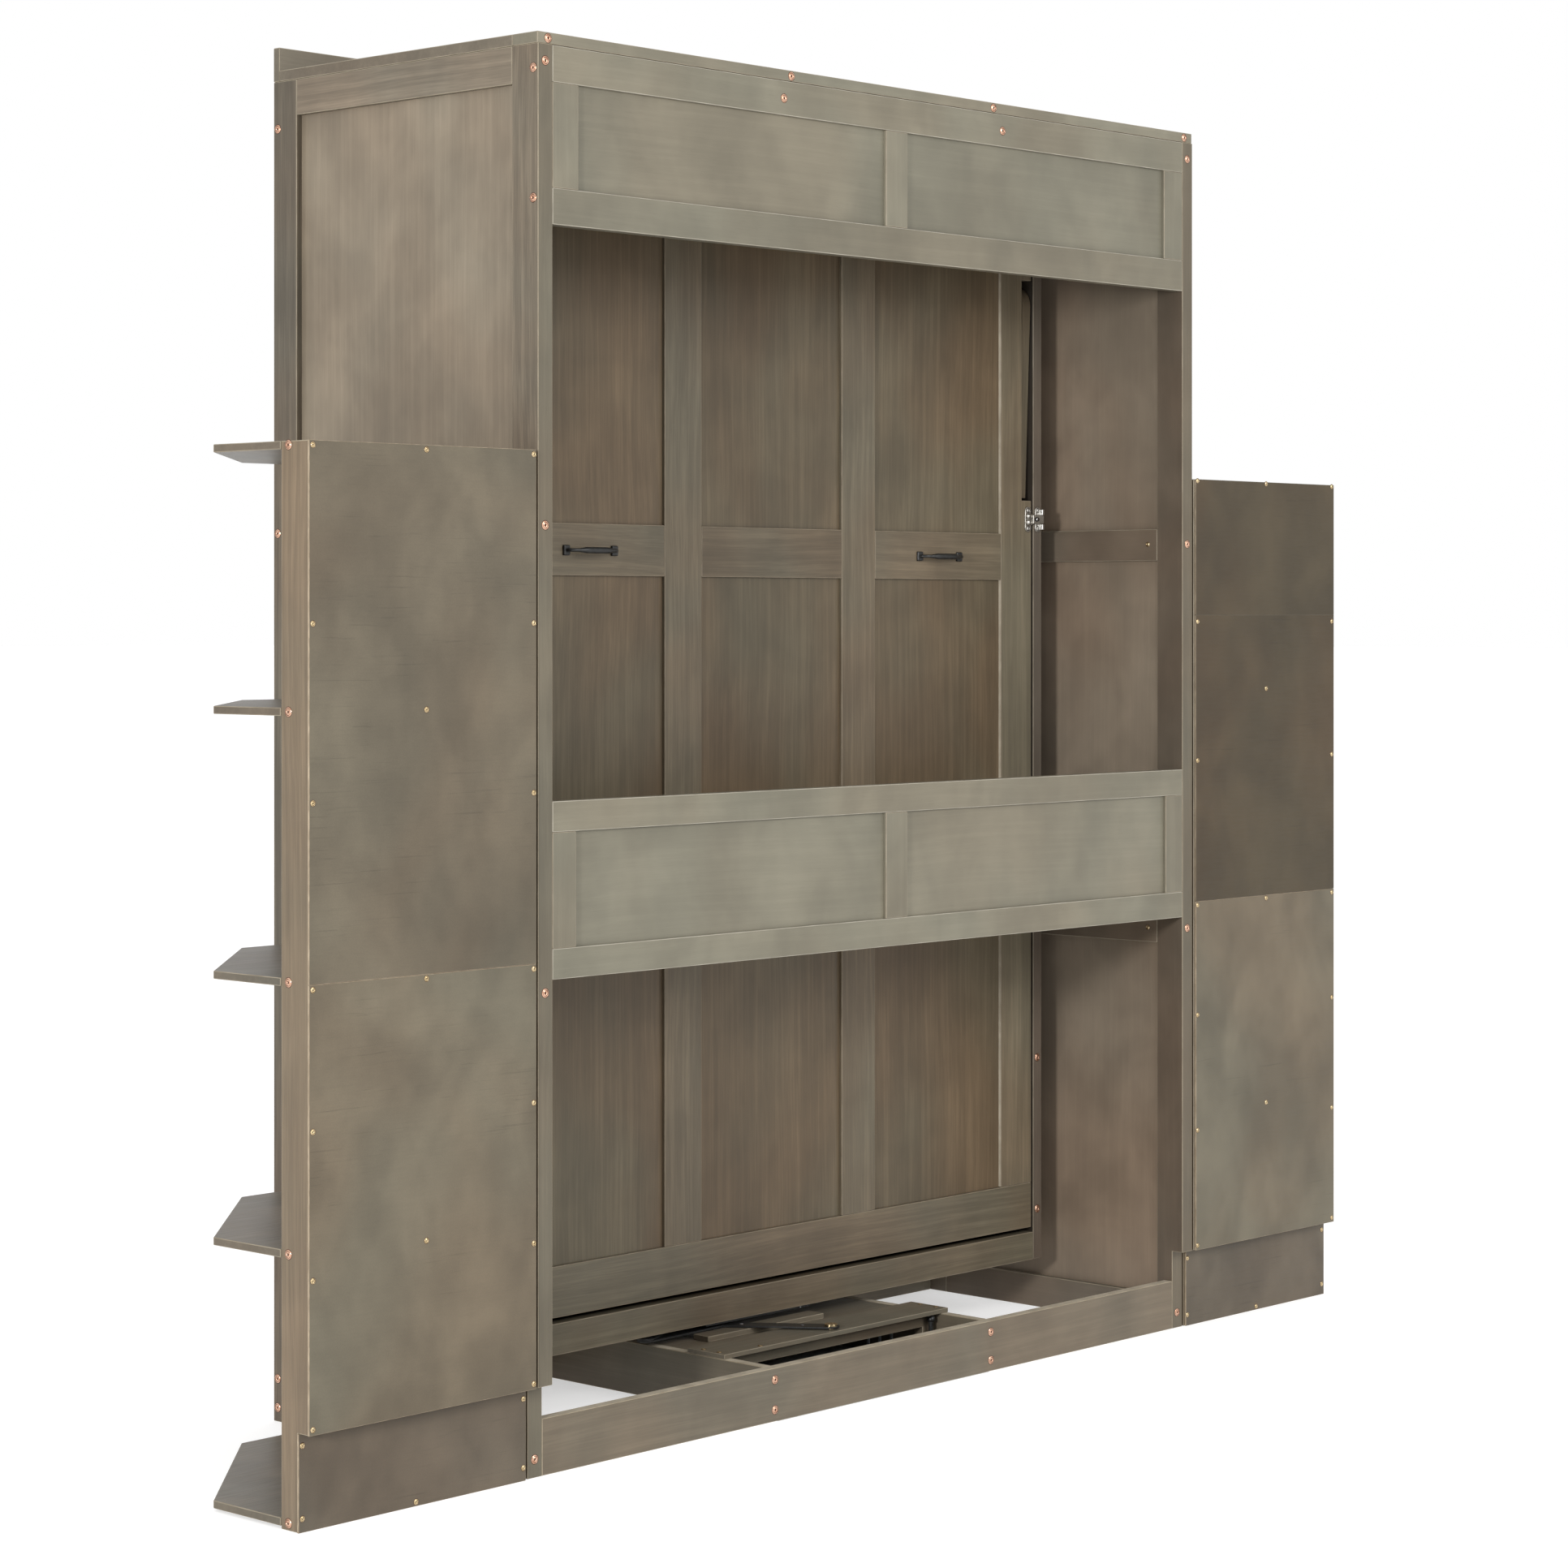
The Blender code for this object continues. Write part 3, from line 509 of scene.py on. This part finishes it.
def cabinet_side(label):
    node = f"side_frame_{label}"
    low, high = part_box(node)
    # the stiles' inward faces are a darker copy of the inside wood: partly the stiles' own darker
    # stain, partly painted shade
    thick, reveal_stain_and_shade = (high.x - low.x, 0, 0), stained("inside", "Z", 0.54)
    rear = slab(f"side_{label}_rear_stile", notched(low.x, STILE, high.z), thick,
                "cabinet", stained("stile", "Z"), edge=EDGE_PALE, width=0.0008, others=(
                    (looks_inward, reveal_stain_and_shade),
                    (looks_to_wall, stained("stile_edge", "Z"))))
    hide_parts(node)
    board(f"side_{label}_front_stile", (low.x, high.x), (low.y, low.y + STILE), (0, high.z),
          "cabinet", stained("stile", "Z", 0.8), others=((looks_inward, reveal_stain_and_shade),))
    for number, (bottom, top) in enumerate(SIDE_RAILS, start=1):
        board(f"side_{label}_rail_{number}", (low.x, high.x),
              (low.y + STILE + JOINT, depth(STILE) - JOINT), (bottom, top),
              "cabinet", stained("side_rail", "Y"),
              others=((looks_inward, stained("inside", "Y", 0.66)),))
    node = f"side_panel_{label}"
    low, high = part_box(node)
    panel = board(f"side_{label}_panel", (low.x, high.x), (low.y, high.y), (low.z, high.z),
                  "cabinet", stained("side", "Z"), slot="wood_panel", width=0.0004,
                  others=((looks_inward, stained("inside", "Z")),))
    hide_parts(node)


def back_frame(name, rail, stile, low_tone):
    """Rails run the full width, and the stiles stand between them."""
    node = name + "_frame"
    low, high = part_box(node)
    y = (low.y, high.y)
    top = board(f"{name}_top_rail", (low.x, high.x), y, (high.z - rail, high.z),
                "cabinet", stained("back", "X"), edge=EDGE_BRIGHT)
    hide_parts(node)
    board(f"{name}_bottom_rail", (low.x, high.x), y, (low.z, low.z + rail),
          "cabinet", stained("back", "X", low_tone), edge=EDGE_BRIGHT)
    z = (low.z + rail + JOINT, high.z - rail - JOINT)
    for label, x in (("left", (low.x, low.x + stile)), ("right", (high.x - stile, high.x)),
                     ("centre", (-CENTRE_STILE / 2, CENTRE_STILE / 2))):
        board(f"{name}_{label}_stile", x, y, z, "cabinet", stained("back", "Z"))
    finish_node(name + "_panel", stained("back", "X"), width=0.0004)


def cabinet():
    for label, _ in SIDES:
        cabinet_side(label)
    back_frame("header", HEADER_RAIL, HEADER_STILE, 0.9)
    back_frame("headboard", HEADBOARD_RAIL, HEADBOARD_STILE, 1.0)
    low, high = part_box("top_board")
    top_wood = stained("side", "X", 0.82)
    rear = board("top_rear_rail", (low.x, high.x), (high.y - TOP_REAR_RAIL, high.y - INSET),
                 (low.z, high.z), "cabinet", stained("back", "X"))
    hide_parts("top_board")
    board("top_panel", (low.x, high.x), (low.y, high.y - TOP_REAR_RAIL - JOINT),
          (low.z, high.z), "cabinet", top_wood)
    finish_node("cornice", top_wood)
    for node in ("pivot_board", "deck_board", "guide_board", "spacer_strip",
                 "base_front_rail"):
        finish_node(node, stained("base", "X"))
    planks = [("base_back_rail", "X")] + [(f"cross_beam_{label}", "Y") for label, _ in SIDES]
    for node, grain in planks:
        low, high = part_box(node)
        plank = board(f"{node}_plank", (low.x, high.x), (low.y, high.y), (low.z, high.z),
                      "cabinet", stained("base", grain), edge=EDGE_PALE,
                      others=((looks_up, EDGE_BARE),))
        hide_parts(node)


# --- box and bed --------------------------------------------------------------
def revolving_box():
    for label, _ in SIDES:
        # the box's sides are darkened on their inner faces, a painted shade
        finish_node(f"box_side_{label}", stained("box", "Z"), EDGE_DIM)
        finish_node(f"bed_pivot_{label}", BRASS, BRASS, 0.0008)
    for node in ("box_bottom", "box_top"):
        finish_node(node, stained("bed", "X", 0.92), EDGE_BED)

    node = "front_frame"
    low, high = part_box(node)
    y, half = (low.y, high.y), FRONT_STILE / 2
    upright, level = stained("side", "Z", 0.8), stained("side", "X", 0.86)
    first = board("front_left_stile", (low.x, low.x + FRONT_STILE), y, (low.z, high.z),
                  "box", upright)
    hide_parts(node)
    board("front_right_stile", (high.x - FRONT_STILE, high.x), y, (low.z, high.z),
          "box", upright)
    board("front_centre_stile", (-half, half), y,
          (low.z + FRONT_STILE + JOINT, high.z - FRONT_STILE - JOINT), "box", upright)
    inner = (low.x + FRONT_STILE + JOINT, high.x - FRONT_STILE - JOINT)
    for label, z in (("bottom", (low.z, low.z + FRONT_STILE)),
                     ("top", (high.z - FRONT_STILE, high.z))):
        board(f"front_{label}_rail", inner, y, z, "box", level)
    middle = sum(SIDE_RAILS[2]) / 2
    for label, x in (("left", (inner[0], -half - JOINT)), ("right", (half + JOINT, inner[1]))):
        board(f"front_middle_rail_{label}", x, y, (middle - half, middle + half),
              "box", level)
    finish_node("front_panel", stained("side", "Z"), width=0.0004)


def outer_bed_stile(label, side, y):
    """The bed's outer stile, cut away along its edge for the drop leg."""
    inner, outer = BED_STILES[0]
    slot_low, slot_high = LEG_SLOT_Z
    bottom, top = BED_RAILS[0][1] + JOINT, BED_RAILS[2][0] - JOINT
    points = [(inner, bottom), (outer, bottom), (outer, slot_low), (LEG_SLOT_X, slot_low),
              (LEG_SLOT_X, slot_high), (outer, slot_high), (outer, top), (inner, top)]
    tone = 1.16 if side < 0 else 1.0                # the left one is drawn paler, painted light where more light falls in
    slab(f"bed_outer_stile_{label}", [(side * x, y[0], z) for x, z in points],
         (0, y[1] - y[0], 0), "bed", stained("bed", "Z", tone), edge=EDGE_BED,
         others=((looks_inward, EDGE_BARE),))


def bed_face():
    node = "bed_face_frame"
    low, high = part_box(node)
    y = (low.y, high.y)
    for number, (bottom, top), tone in ((1, BED_RAILS[0], 0.9), (3, BED_RAILS[2], 1.0)):
        rail = board(f"bed_rail_{number}", (low.x, high.x), y, (bottom, top),
                     "bed", stained("bed", "X", tone), edge=EDGE_BED)
        if number == 1:
            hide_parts(node)
    bottom, top = BED_RAILS[0][1] + JOINT, BED_RAILS[2][0] - JOINT
    outer_reach = BED_STILES[0][0] - JOINT
    for label, side in SIDES:
        outer_bed_stile(label, side, y)
        inner, outer = BED_STILES[1]
        board(f"bed_inner_stile_{label}", (side * inner, side * outer), y, (bottom, top),
              "bed", stained("bed", "Z"), edge=EDGE_BED)
        board(f"bed_handle_rail_{label}", (side * (outer + JOINT), side * outer_reach),
              y, BED_RAILS[1], "bed", stained("bed", "X"), edge=EDGE_BED)
    reach = BED_STILES[1][0] - JOINT
    board("bed_handle_rail_centre", (-reach, reach), y, BED_RAILS[1], "bed",
          stained("bed", "X", 0.86), edge=EDGE_BED)
    finish_node("bed_face_panel", stained("bed_panel", "Z"), width=0.0004)
    finish_node("bed_inner_frame", stained("bed", "Z", 0.9))
    finish_node("slat_rack", stained("base", "X"), width=0.002)
    for label, _ in SIDES:
        finish_node(f"leg_{label}", stained("bed", "Z", 0.9), EDGE_DIM, width=0.0015, segments=3)


# --- metalwork ----------------------------------------------------------------
def handle(label):
    """A cast pull: two square feet, and a bar that arches up into a fuller grip."""
    node = f"handle_{label}"
    low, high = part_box(node)
    middle = (low + high) / 2
    foot_w, foot_t, foot_taper = 0.0155, 0.0042, 0.86
    reach = (high.x - low.x - foot_w) / 2
    shape = bmesh.new()
    for end in (-1, 1):
        x = middle.x + end * reach
        block(shape, Vector((x - foot_w / 2, low.y, low.z)),
              Vector((x + foot_w / 2, low.y + foot_t, high.z)), foot_taper)

    neck, grip, rise, root = 0.0030, 0.0054, 0.0185, foot_t * 0.6
    power, steps = 2 / 2.7, 72                      # a lower power makes a boxier arch
    barrel, shoulder, thinning = 0.46, 0.24, 0.3    # as shares of the half length
    collar, bead_width, bead_height = 0.66, 0.025, 0.0004
    path, radii = [], []
    for step in range(steps + 1):
        angle = math.pi * step / steps
        share = abs(math.cos(angle)) ** power
        path.append(Vector((middle.x - math.copysign(share, math.cos(angle)) * reach,
                            low.y + root + (rise - root) * math.sin(angle) ** power,
                            middle.z)))
        fuller = min(1.0, max(0.0, (barrel + shoulder - share) / shoulder))
        bead = math.exp(-((share - collar) / bead_width) ** 2)
        radii.append(neck + (grip - neck) * fuller * (1 - thinning * share ** 2)
                     + bead_height * bead)
    swept(shape, path, radii)
    obj = place_mesh(f"pull_{label}", shape, "bed", [BLACK])
    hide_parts(node)
    round_edges(obj, 0.0022, 3, 0)


# the catch's two plates: thickness, height, and how far the screws are from the middle
CATCH_T, CATCH_HEIGHT, CATCH_PITCH = 0.0016, 0.0475, 0.0168


def catch_screws(name, x, y, middle_z, body):
    """The two small screws of one of the catch's plates."""
    places = [(x, y + CATCH_T, middle_z + end) for end in (-CATCH_PITCH, CATCH_PITCH)]
    screws(name, places, (0, 1, 0), body, SATIN, PLATE_SCREW, BLACK)


def catch_on_rail():
    """A plate on the box's rail, with two tabs that stand up from its outer edge."""
    low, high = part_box("catch_body")
    rail_y, middle_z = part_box("box_side_left")[1].y + 0.0003, (low.z + high.z) / 2
    plate_x, plate_w = low.x + 0.0175, 0.0150
    shape = bmesh.new()
    obround(shape, Vector((plate_x, rail_y, middle_z)), plate_w, CATCH_HEIGHT, CATCH_T)
    plate = place_mesh("catch_rail_plate", shape, "box", [SATIN])
    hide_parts("catch_body")
    round_edges(plate, 0.0006, 2, 0)

    tab_x, tab_w = low.x + 0.0064, 0.0050
    tab_out, tab_half, tab_rise = 0.0079, 0.0049, 0.0137
    shape = bmesh.new()
    for end in (-1, 1):
        z = middle_z + end * tab_rise
        block(shape, Vector((tab_x, rail_y, z - tab_half)),
              Vector((tab_x + tab_w, rail_y + tab_out, z + tab_half)), 0.97)
    shape.normal_update()
    for face in shape.faces:
        face.material_index = int(looks_to_wall(face))
    tabs = place_mesh("catch_tabs", shape, "box", [WHITE_PLATE, SATIN])
    round_edges(tabs, 0.0004, 2, 0)
    catch_screws("catch_rail_screws", plate_x, rail_y, middle_z, "box")


def catch_on_bed():
    """A plate on the bed, with two rollers and a tongue that has an eye."""
    low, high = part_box("catch_tongue")
    rail_low, rail_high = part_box("catch_body")
    bed_y, tongue_y, middle_z = low.y, high.y, (rail_low.z + rail_high.z) / 2
    plate_x, plate_w = high.x - 0.0088, 0.0176
    half, sheet = 0.0080, 0.0017
    riser_x, riser_w = plate_x - 0.0093, 0.0038
    shape = bmesh.new()
    obround(shape, Vector((plate_x, bed_y, middle_z)), plate_w, CATCH_HEIGHT, CATCH_T)
    block(shape, Vector((riser_x, bed_y + CATCH_T, middle_z - half)),
          Vector((riser_x + riser_w, tongue_y - sheet / 2, middle_z + half)))
    block(shape, Vector((low.x, tongue_y - sheet, middle_z - half)),
          Vector((plate_x + 0.0010, tongue_y, middle_z + half)), 0.97)
    plate = place_mesh("catch_bed_plate", shape, "bed", [SATIN])
    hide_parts("catch_tongue")
    round_edges(plate, 0.0006, 2, 0)
    catch_screws("catch_bed_screws", plate_x, bed_y, middle_z, "bed")

    roller, reach, chamfer, spread = 0.0050, 0.0080, 0.0008, 0.0058
    shape = bmesh.new()
    for end in (-1, 1):
        place = (plate_x - reach, bed_y + CATCH_T + 0.0012, middle_z + end * spread)
        turned(shape, [(0, 0), (roller * 0.8, 0), (roller, chamfer),
                       (roller, 2 * reach - chamfer), (roller * 0.8, 2 * reach),
                       (0, 2 * reach)], place, (1, 0, 0))
    place_mesh("catch_rollers", shape, "bed", [SATIN])

    eye, slot_size = Vector((low.x + 0.0212, tongue_y, middle_z)), (0.0140, 0.0080, 0.0003)
    # the eye's slot is a thin black sheet on the tongue: a painted shadow in the hole
    shape = bmesh.new()
    obround(shape, eye, *slot_size)
    place_mesh("catch_slot", shape, "bed", [BLACK])
    shape = bmesh.new()
    turned(shape, [(0, 0), (0.0025, 0), (0.0025, 0.0010), (0.0018, 0.0015), (0, 0.0016)],
           eye, (0, 1, 0))
    place_mesh("catch_eye_pin", shape, "bed", [CHROME])


def under_box():
    """Small steel pieces round the pivot: stay bar, rivets, a glide and slot pins."""
    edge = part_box("box_bottom")[1].y
    bar_x, bar_t = (-0.092, 0.168), 0.003
    bar_y, bar_z = (edge - 0.027, edge - 0.002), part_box("arm_upper")[1].z + 0.0004
    shape = bmesh.new()
    block(shape, Vector((bar_x[0], bar_y[0], bar_z)), Vector((bar_x[1], bar_y[1], bar_z + bar_t)))
    bar = place_mesh("stay_bar", shape, "box", [BLACK])
    round_edges(bar, 0.0006, 2, 0)
    screws("stay_bar_bolt", [(-0.0685, bar_y[1], bar_z + bar_t / 2)], (0, 1, 0), "box",
           GREY_STEEL, BAR_BOLT)

    arm_top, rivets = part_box("arm_lower")[0].z + 0.003, ((0.030, 0.1892), (0.0935, 0.2723))
    screws("arm_rivets", [(x, depth(d), arm_top) for x, d in rivets], (0, 0, 1),
           "lower_arm", GREY_STEEL, RIVET)

    foot_z, shank, pins_x = 0.030, 0.044, (-0.135, -0.165, -0.196)
    shape = bmesh.new()
    turned(shape, [(0, 0), (0.0045, 0), (0.0045, shank), (0.0070, 0.0445), (0.0074, 0.0475),
                   (0.0066, 0.0545), (0, 0.0555)],
           (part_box("guide_board")[0].x + 0.014, depth(0.141), foot_z), (0, 0, 1), 28)
    for face in shape.faces:
        face.material_index = int(face.calc_center_median().z > foot_z + shank + 0.0002)
    place_mesh("glide_post", shape, "cabinet", [GREY_STEEL, BLACK])
    shape = bmesh.new()
    for x in pins_x:
        turned(shape, [(0, 0), (0.0028, 0), (0.0028, 0.036), (0.0050, 0.0365),
                       (0.0050, 0.040), (0, 0.0405)], (x, depth(0.184), foot_z), (0, 0, 1), 20)
    place_mesh("slot_pins", shape, "cabinet", [GREY_STEEL])


def metalwork():
    for label, _ in SIDES:
        handle(label)
    catch_on_rail()
    catch_on_bed()
    under_box()
    for node in ("arm_lower", "arm_upper", "swivel_plate"):
        finish_node(node, BLACK, BLACK, 0.0004)
    finish_node("pivot_bolt", BRASS, BRASS, 0.0008)


# --- towers -------------------------------------------------------------------
def tower(label, side):
    low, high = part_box(f"tower_post_{label}")
    outer = side * (max(abs(low.x), abs(high.x)) - INSET)
    inner = side * min(abs(low.x), abs(high.x))
    post = slab(f"shelf_post_{label}", notched(inner, high.y - low.y, high.z),
                (outer - inner, 0, 0), "cabinet", stained("post", "Z"), edge=EDGE_PALE)
    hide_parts(f"tower_post_{label}")
    finish_node(f"tower_side_{label}", stained("post", "Z", 0.86))
    for number in range(1, len(SHELF_HEIGHTS) + 1):
        finish_node(f"tower_shelf_{number}_{label}", stained("side", "X", 0.72))
    upper = PLY if side > 0 else PLY_DARK
    for part, material in (("back_upper", upper), ("back_lower", PLY_LOWER),
                           ("plinth", PLY_PLINTH)):
        node = f"tower_{part}_{label}"
        low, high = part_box(node)
        seamed = (part, label) == ("back_upper", "left")
        levels = [low.z] + [SHEET_SEAM] * seamed + [high.z]
        for number, (bottom, top) in enumerate(zip(levels, levels[1:]), start=1):
            x = (low.x + SEAM, high.x) if side > 0 else (low.x, high.x - SEAM)
            sheet = board(f"shelf_{part}_{label}_{number}", x,
                          (low.y, high.y - INSET), (bottom, top), "cabinet", material,
                          edge=EDGE_SEAM if seamed else EDGE_PLY, slot="plywood",
                          width=0.0006, others=((is_rim, EDGE_PLY),))
            if number == 1:
                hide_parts(node)


# --- fasteners ----------------------------------------------------------------
# heights of the screws; in REAR_SCREWS, -1 is the side with negative X
REAR_SCREWS = ((-1, (0.028, 0.739, 1.4467, 2.156)), (1, (0.028, 0.741, 1.453, 2.160)))
REAR_SIDE_SCREWS = (1.951, 2.149)
FRONT_SIDE_SCREWS = (0.023, 0.070, 0.739, 1.449, 2.109)
INSIDE_SCREWS = (0.737, 1.447)
BASE_SCREWS = (0.019, 0.068)
BOX_SCREWS = (0.202, 0.486)
EDGE_SCREWS = (0.151, 0.364, 0.577, 0.780, 1.047, 1.304)    # down a sheet's edges
SHELF_SCREWS = (0.395, 0.781, 1.177)                        # down a sheet's middle
TOP_SCREWS = {"left": 1.564, "right": 1.560}                # along a sheet's top
PLINTH_SCREWS, PLINTH_FOOT_SCREW = (0.020, 0.125), 0.0065
# distances in front of the back plane, and from a board's edge to its screws
REAR_SIDE_D, FRONT_SIDE_D, INSIDE_D, POST_D = 0.011, 0.618, 0.080, 0.044
STILE_MARGIN, TOP_MARGIN, HEADER_MARGIN, SHEET_MARGIN = 0.0150, 0.009, 0.0285, 0.007
STUD_PLACE = (0.300, 0.224)                     # depth and height
# places of the screws across the cabinet
TOP_RAIL_SCREWS = (-0.805, -0.256, 0.260, 0.806)
HEADER_SCREWS = (-0.279, 0.279)
PIVOT_BOARD_SCREWS = ((-0.2755, 0.150), (-0.2755, 0.186), (0.2755, 0.150), (0.2755, 0.186),
                      (0.190, 0.137))           # X and depth


def fasteners():
    back = (0, 1, 0)
    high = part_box("top_board")[1]
    stile_x = high.x - STILE_MARGIN
    places = [(side * stile_x, depth(0) if z > SKIRTING_H else depth(SKIRTING_D), z)
              for side, heights in REAR_SCREWS for z in heights]
    places += [(x, high.y - INSET, high.z - TOP_MARGIN) for x in TOP_RAIL_SCREWS]
    header_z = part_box("header_frame")[1].z - HEADER_MARGIN
    places += [(x, depth(0), header_z) for x in HEADER_SCREWS]
    screws("screws_rear", places, back, "cabinet")
    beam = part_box("cross_beam_right")
    beam_x = (beam[0].x + beam[1].x) / 2
    screws("screws_base", [(side * beam_x, depth(SKIRTING_D), z) for side in (-1, 1)
                           for z in BASE_SCREWS], back, "cabinet")
    board_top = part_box("pivot_board")[1].z
    screws("screws_pivot_board", [(x, depth(d), board_top) for x, d in PIVOT_BOARD_SCREWS],
           (0, 0, 1), "cabinet", OLD_BRASS, SMALL)
    for label, side in SIDES:
        side_screws(label, side)
        tower_screws(label, side)
        box_screws(label, side)


def side_screws(label, side):
    """Screws through a cabinet side, from outside and from inside."""
    low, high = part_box(f"side_frame_{label}")
    outside, inside = (high.x, low.x) if side > 0 else (low.x, high.x)
    places = [(outside, depth(REAR_SIDE_D), z) for z in REAR_SIDE_SCREWS]
    places += [(outside, depth(FRONT_SIDE_D), z) for z in FRONT_SIDE_SCREWS]
    screws(f"screws_side_{label}", places, (side, 0, 0), "cabinet")
    places = [(inside, depth(INSIDE_D), z) for z in INSIDE_SCREWS]
    screws(f"screws_inside_{label}", places, (-side, 0, 0), "cabinet", OLD_BRASS, SMALL)


def tower_screws(label, side):
    """Screws through a tower's post, and small ones round its sheets and plinth."""
    low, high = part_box(f"tower_post_{label}")
    outside = side * (max(abs(low.x), abs(high.x)) - INSET)
    screws(f"screws_post_{label}", [(outside, depth(POST_D), z) for z in SHELF_HEIGHTS],
           (side, 0, 0), "cabinet")

    low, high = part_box(f"tower_back_upper_{label}")
    y, middle = high.y - INSET, (low.x + high.x) / 2
    columns, top = (low.x + SHEET_MARGIN, high.x - SHEET_MARGIN), TOP_SCREWS[label]
    places = [(x, y, z) for x in columns for z in (*EDGE_SCREWS, top)]
    places += [(middle, y, z) for z in (*SHELF_SCREWS, top)]
    screws(f"screws_sheet_{label}", places, (0, 1, 0), "cabinet", OLD_BRASS, SMALL)

    low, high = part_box(f"tower_plinth_{label}")
    y, columns = high.y - INSET, (low.x + SHEET_MARGIN, high.x - SHEET_MARGIN)
    places = [(x, y, z) for x in columns for z in PLINTH_SCREWS]
    places.append((middle, y, PLINTH_FOOT_SCREW))
    screws(f"screws_plinth_{label}", places, (0, 1, 0), "cabinet", OLD_BRASS, SMALL)


def box_screws(label, side):
    """Screws in the front edge of the box's side, and a stud on its outside."""
    low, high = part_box(f"box_side_{label}")
    places = [((low.x + high.x) / 2, high.y, z) for z in BOX_SCREWS]
    screws(f"screws_box_{label}", places, (0, 1, 0), "box")
    outside, (stud_d, stud_z) = high.x if side > 0 else low.x, STUD_PLACE
    screws(f"stud_box_{label}", [(outside, depth(stud_d), stud_z)], (side, 0, 0), "box",
           GREY_STEEL, STUD)


# --- stage --------------------------------------------------------------------
FLOOR_SIZE, FLOOR_GREY, FLOOR_PAINTED_GLOW = 240, 0.6, 0.5
PAINTED_SHADE_UNDER_DECK = (("X", 0.27), ("Y", 0.29))         # half sizes of the floor patch under the deck that doesn't glow: painted shade
# name, place, target, size and power of each light
LIGHTS = (("key", (6.9, 2.3, 2.0), (0, 0.1, 1.2), 0.7, 300),
          ("fill", (-0.6, 6.6, 3.7), (0, 0.2, 1.3), 3.0, 210))
CAMERA_PLACE, CAMERA_AIM = (4.696, 4.413, 1.3173), (-0.7328, -0.6805, 0)
LENS, SENSOR, SHIFT = 85.06, 36, -0.1082


def pale_floor():
    """A pale floor with a faint glow, painted light that thins its shadows; the glow is left out
    under the deck board as painted shade.
    """
    s = Shader("pale_floor")
    spot = s.node("ShaderNodeSeparateXYZ", {
        0: s.node("ShaderNodeTexCoord").outputs["Object"]}).outputs
    shade_under_deck = s.maths("MULTIPLY", *(
        s.maths("LESS_THAN", s.maths("ABSOLUTE", spot[axis]), half)
        for axis, half in PAINTED_SHADE_UNDER_DECK))
    s.feed(s.bsdf.inputs["Emission Strength"],
           s.maths("MULTIPLY_ADD", shade_under_deck, -FLOOR_PAINTED_GLOW, FLOOR_PAINTED_GLOW))
    return s.finish((FLOOR_GREY, FLOOR_GREY, FLOOR_GREY, 1.0), 0.9,
                    Emission_Color=(1.0, 1.0, 1.0, 1.0))


def stage():
    bpy.ops.mesh.primitive_plane_add(size=FLOOR_SIZE, location=(0, 0, 0))
    floor = bpy.context.object
    floor.name = "floor"
    floor.data.materials.append(pale_floor())

    world = bpy.data.worlds.new("studio")
    world.use_nodes = True
    background = world.node_tree.nodes["Background"]
    background.inputs["Color"].default_value = (1.0, 1.0, 1.0, 1.0)
    background.inputs["Strength"].default_value = 1.0
    bpy.context.scene.world = world

    for name, place, target, size, power in LIGHTS:
        light = bpy.data.lights.new(name, "AREA")
        light.energy = power
        light.size = size
        obj = bpy.data.objects.new(name, light)
        obj.location = place
        aim = Vector(target) - Vector(place)
        obj.rotation_euler = aim.to_track_quat("-Z", "Y").to_euler()
        bpy.context.scene.collection.objects.link(obj)
    bpy.context.scene.view_settings.view_transform = "Standard"


def camera():
    """Level camera on the wall side; the lens shift keeps the uprights parallel."""
    data = bpy.data.cameras.new("camera")
    data.lens = LENS
    data.sensor_width = SENSOR
    data.shift_y = SHIFT
    obj = bpy.data.objects.new("camera", data)
    obj.location = CAMERA_PLACE
    obj.rotation_euler = Vector(CAMERA_AIM).to_track_quat("-Z", "Y").to_euler()
    bpy.context.scene.collection.objects.link(obj)
    bpy.context.scene.camera = obj


camera()
stage()
cabinet()
revolving_box()
bed_face()
metalwork()
for side_label, side_sign in SIDES:
    tower(side_label, side_sign)
fasteners()

bpy.context.view_layer.update()
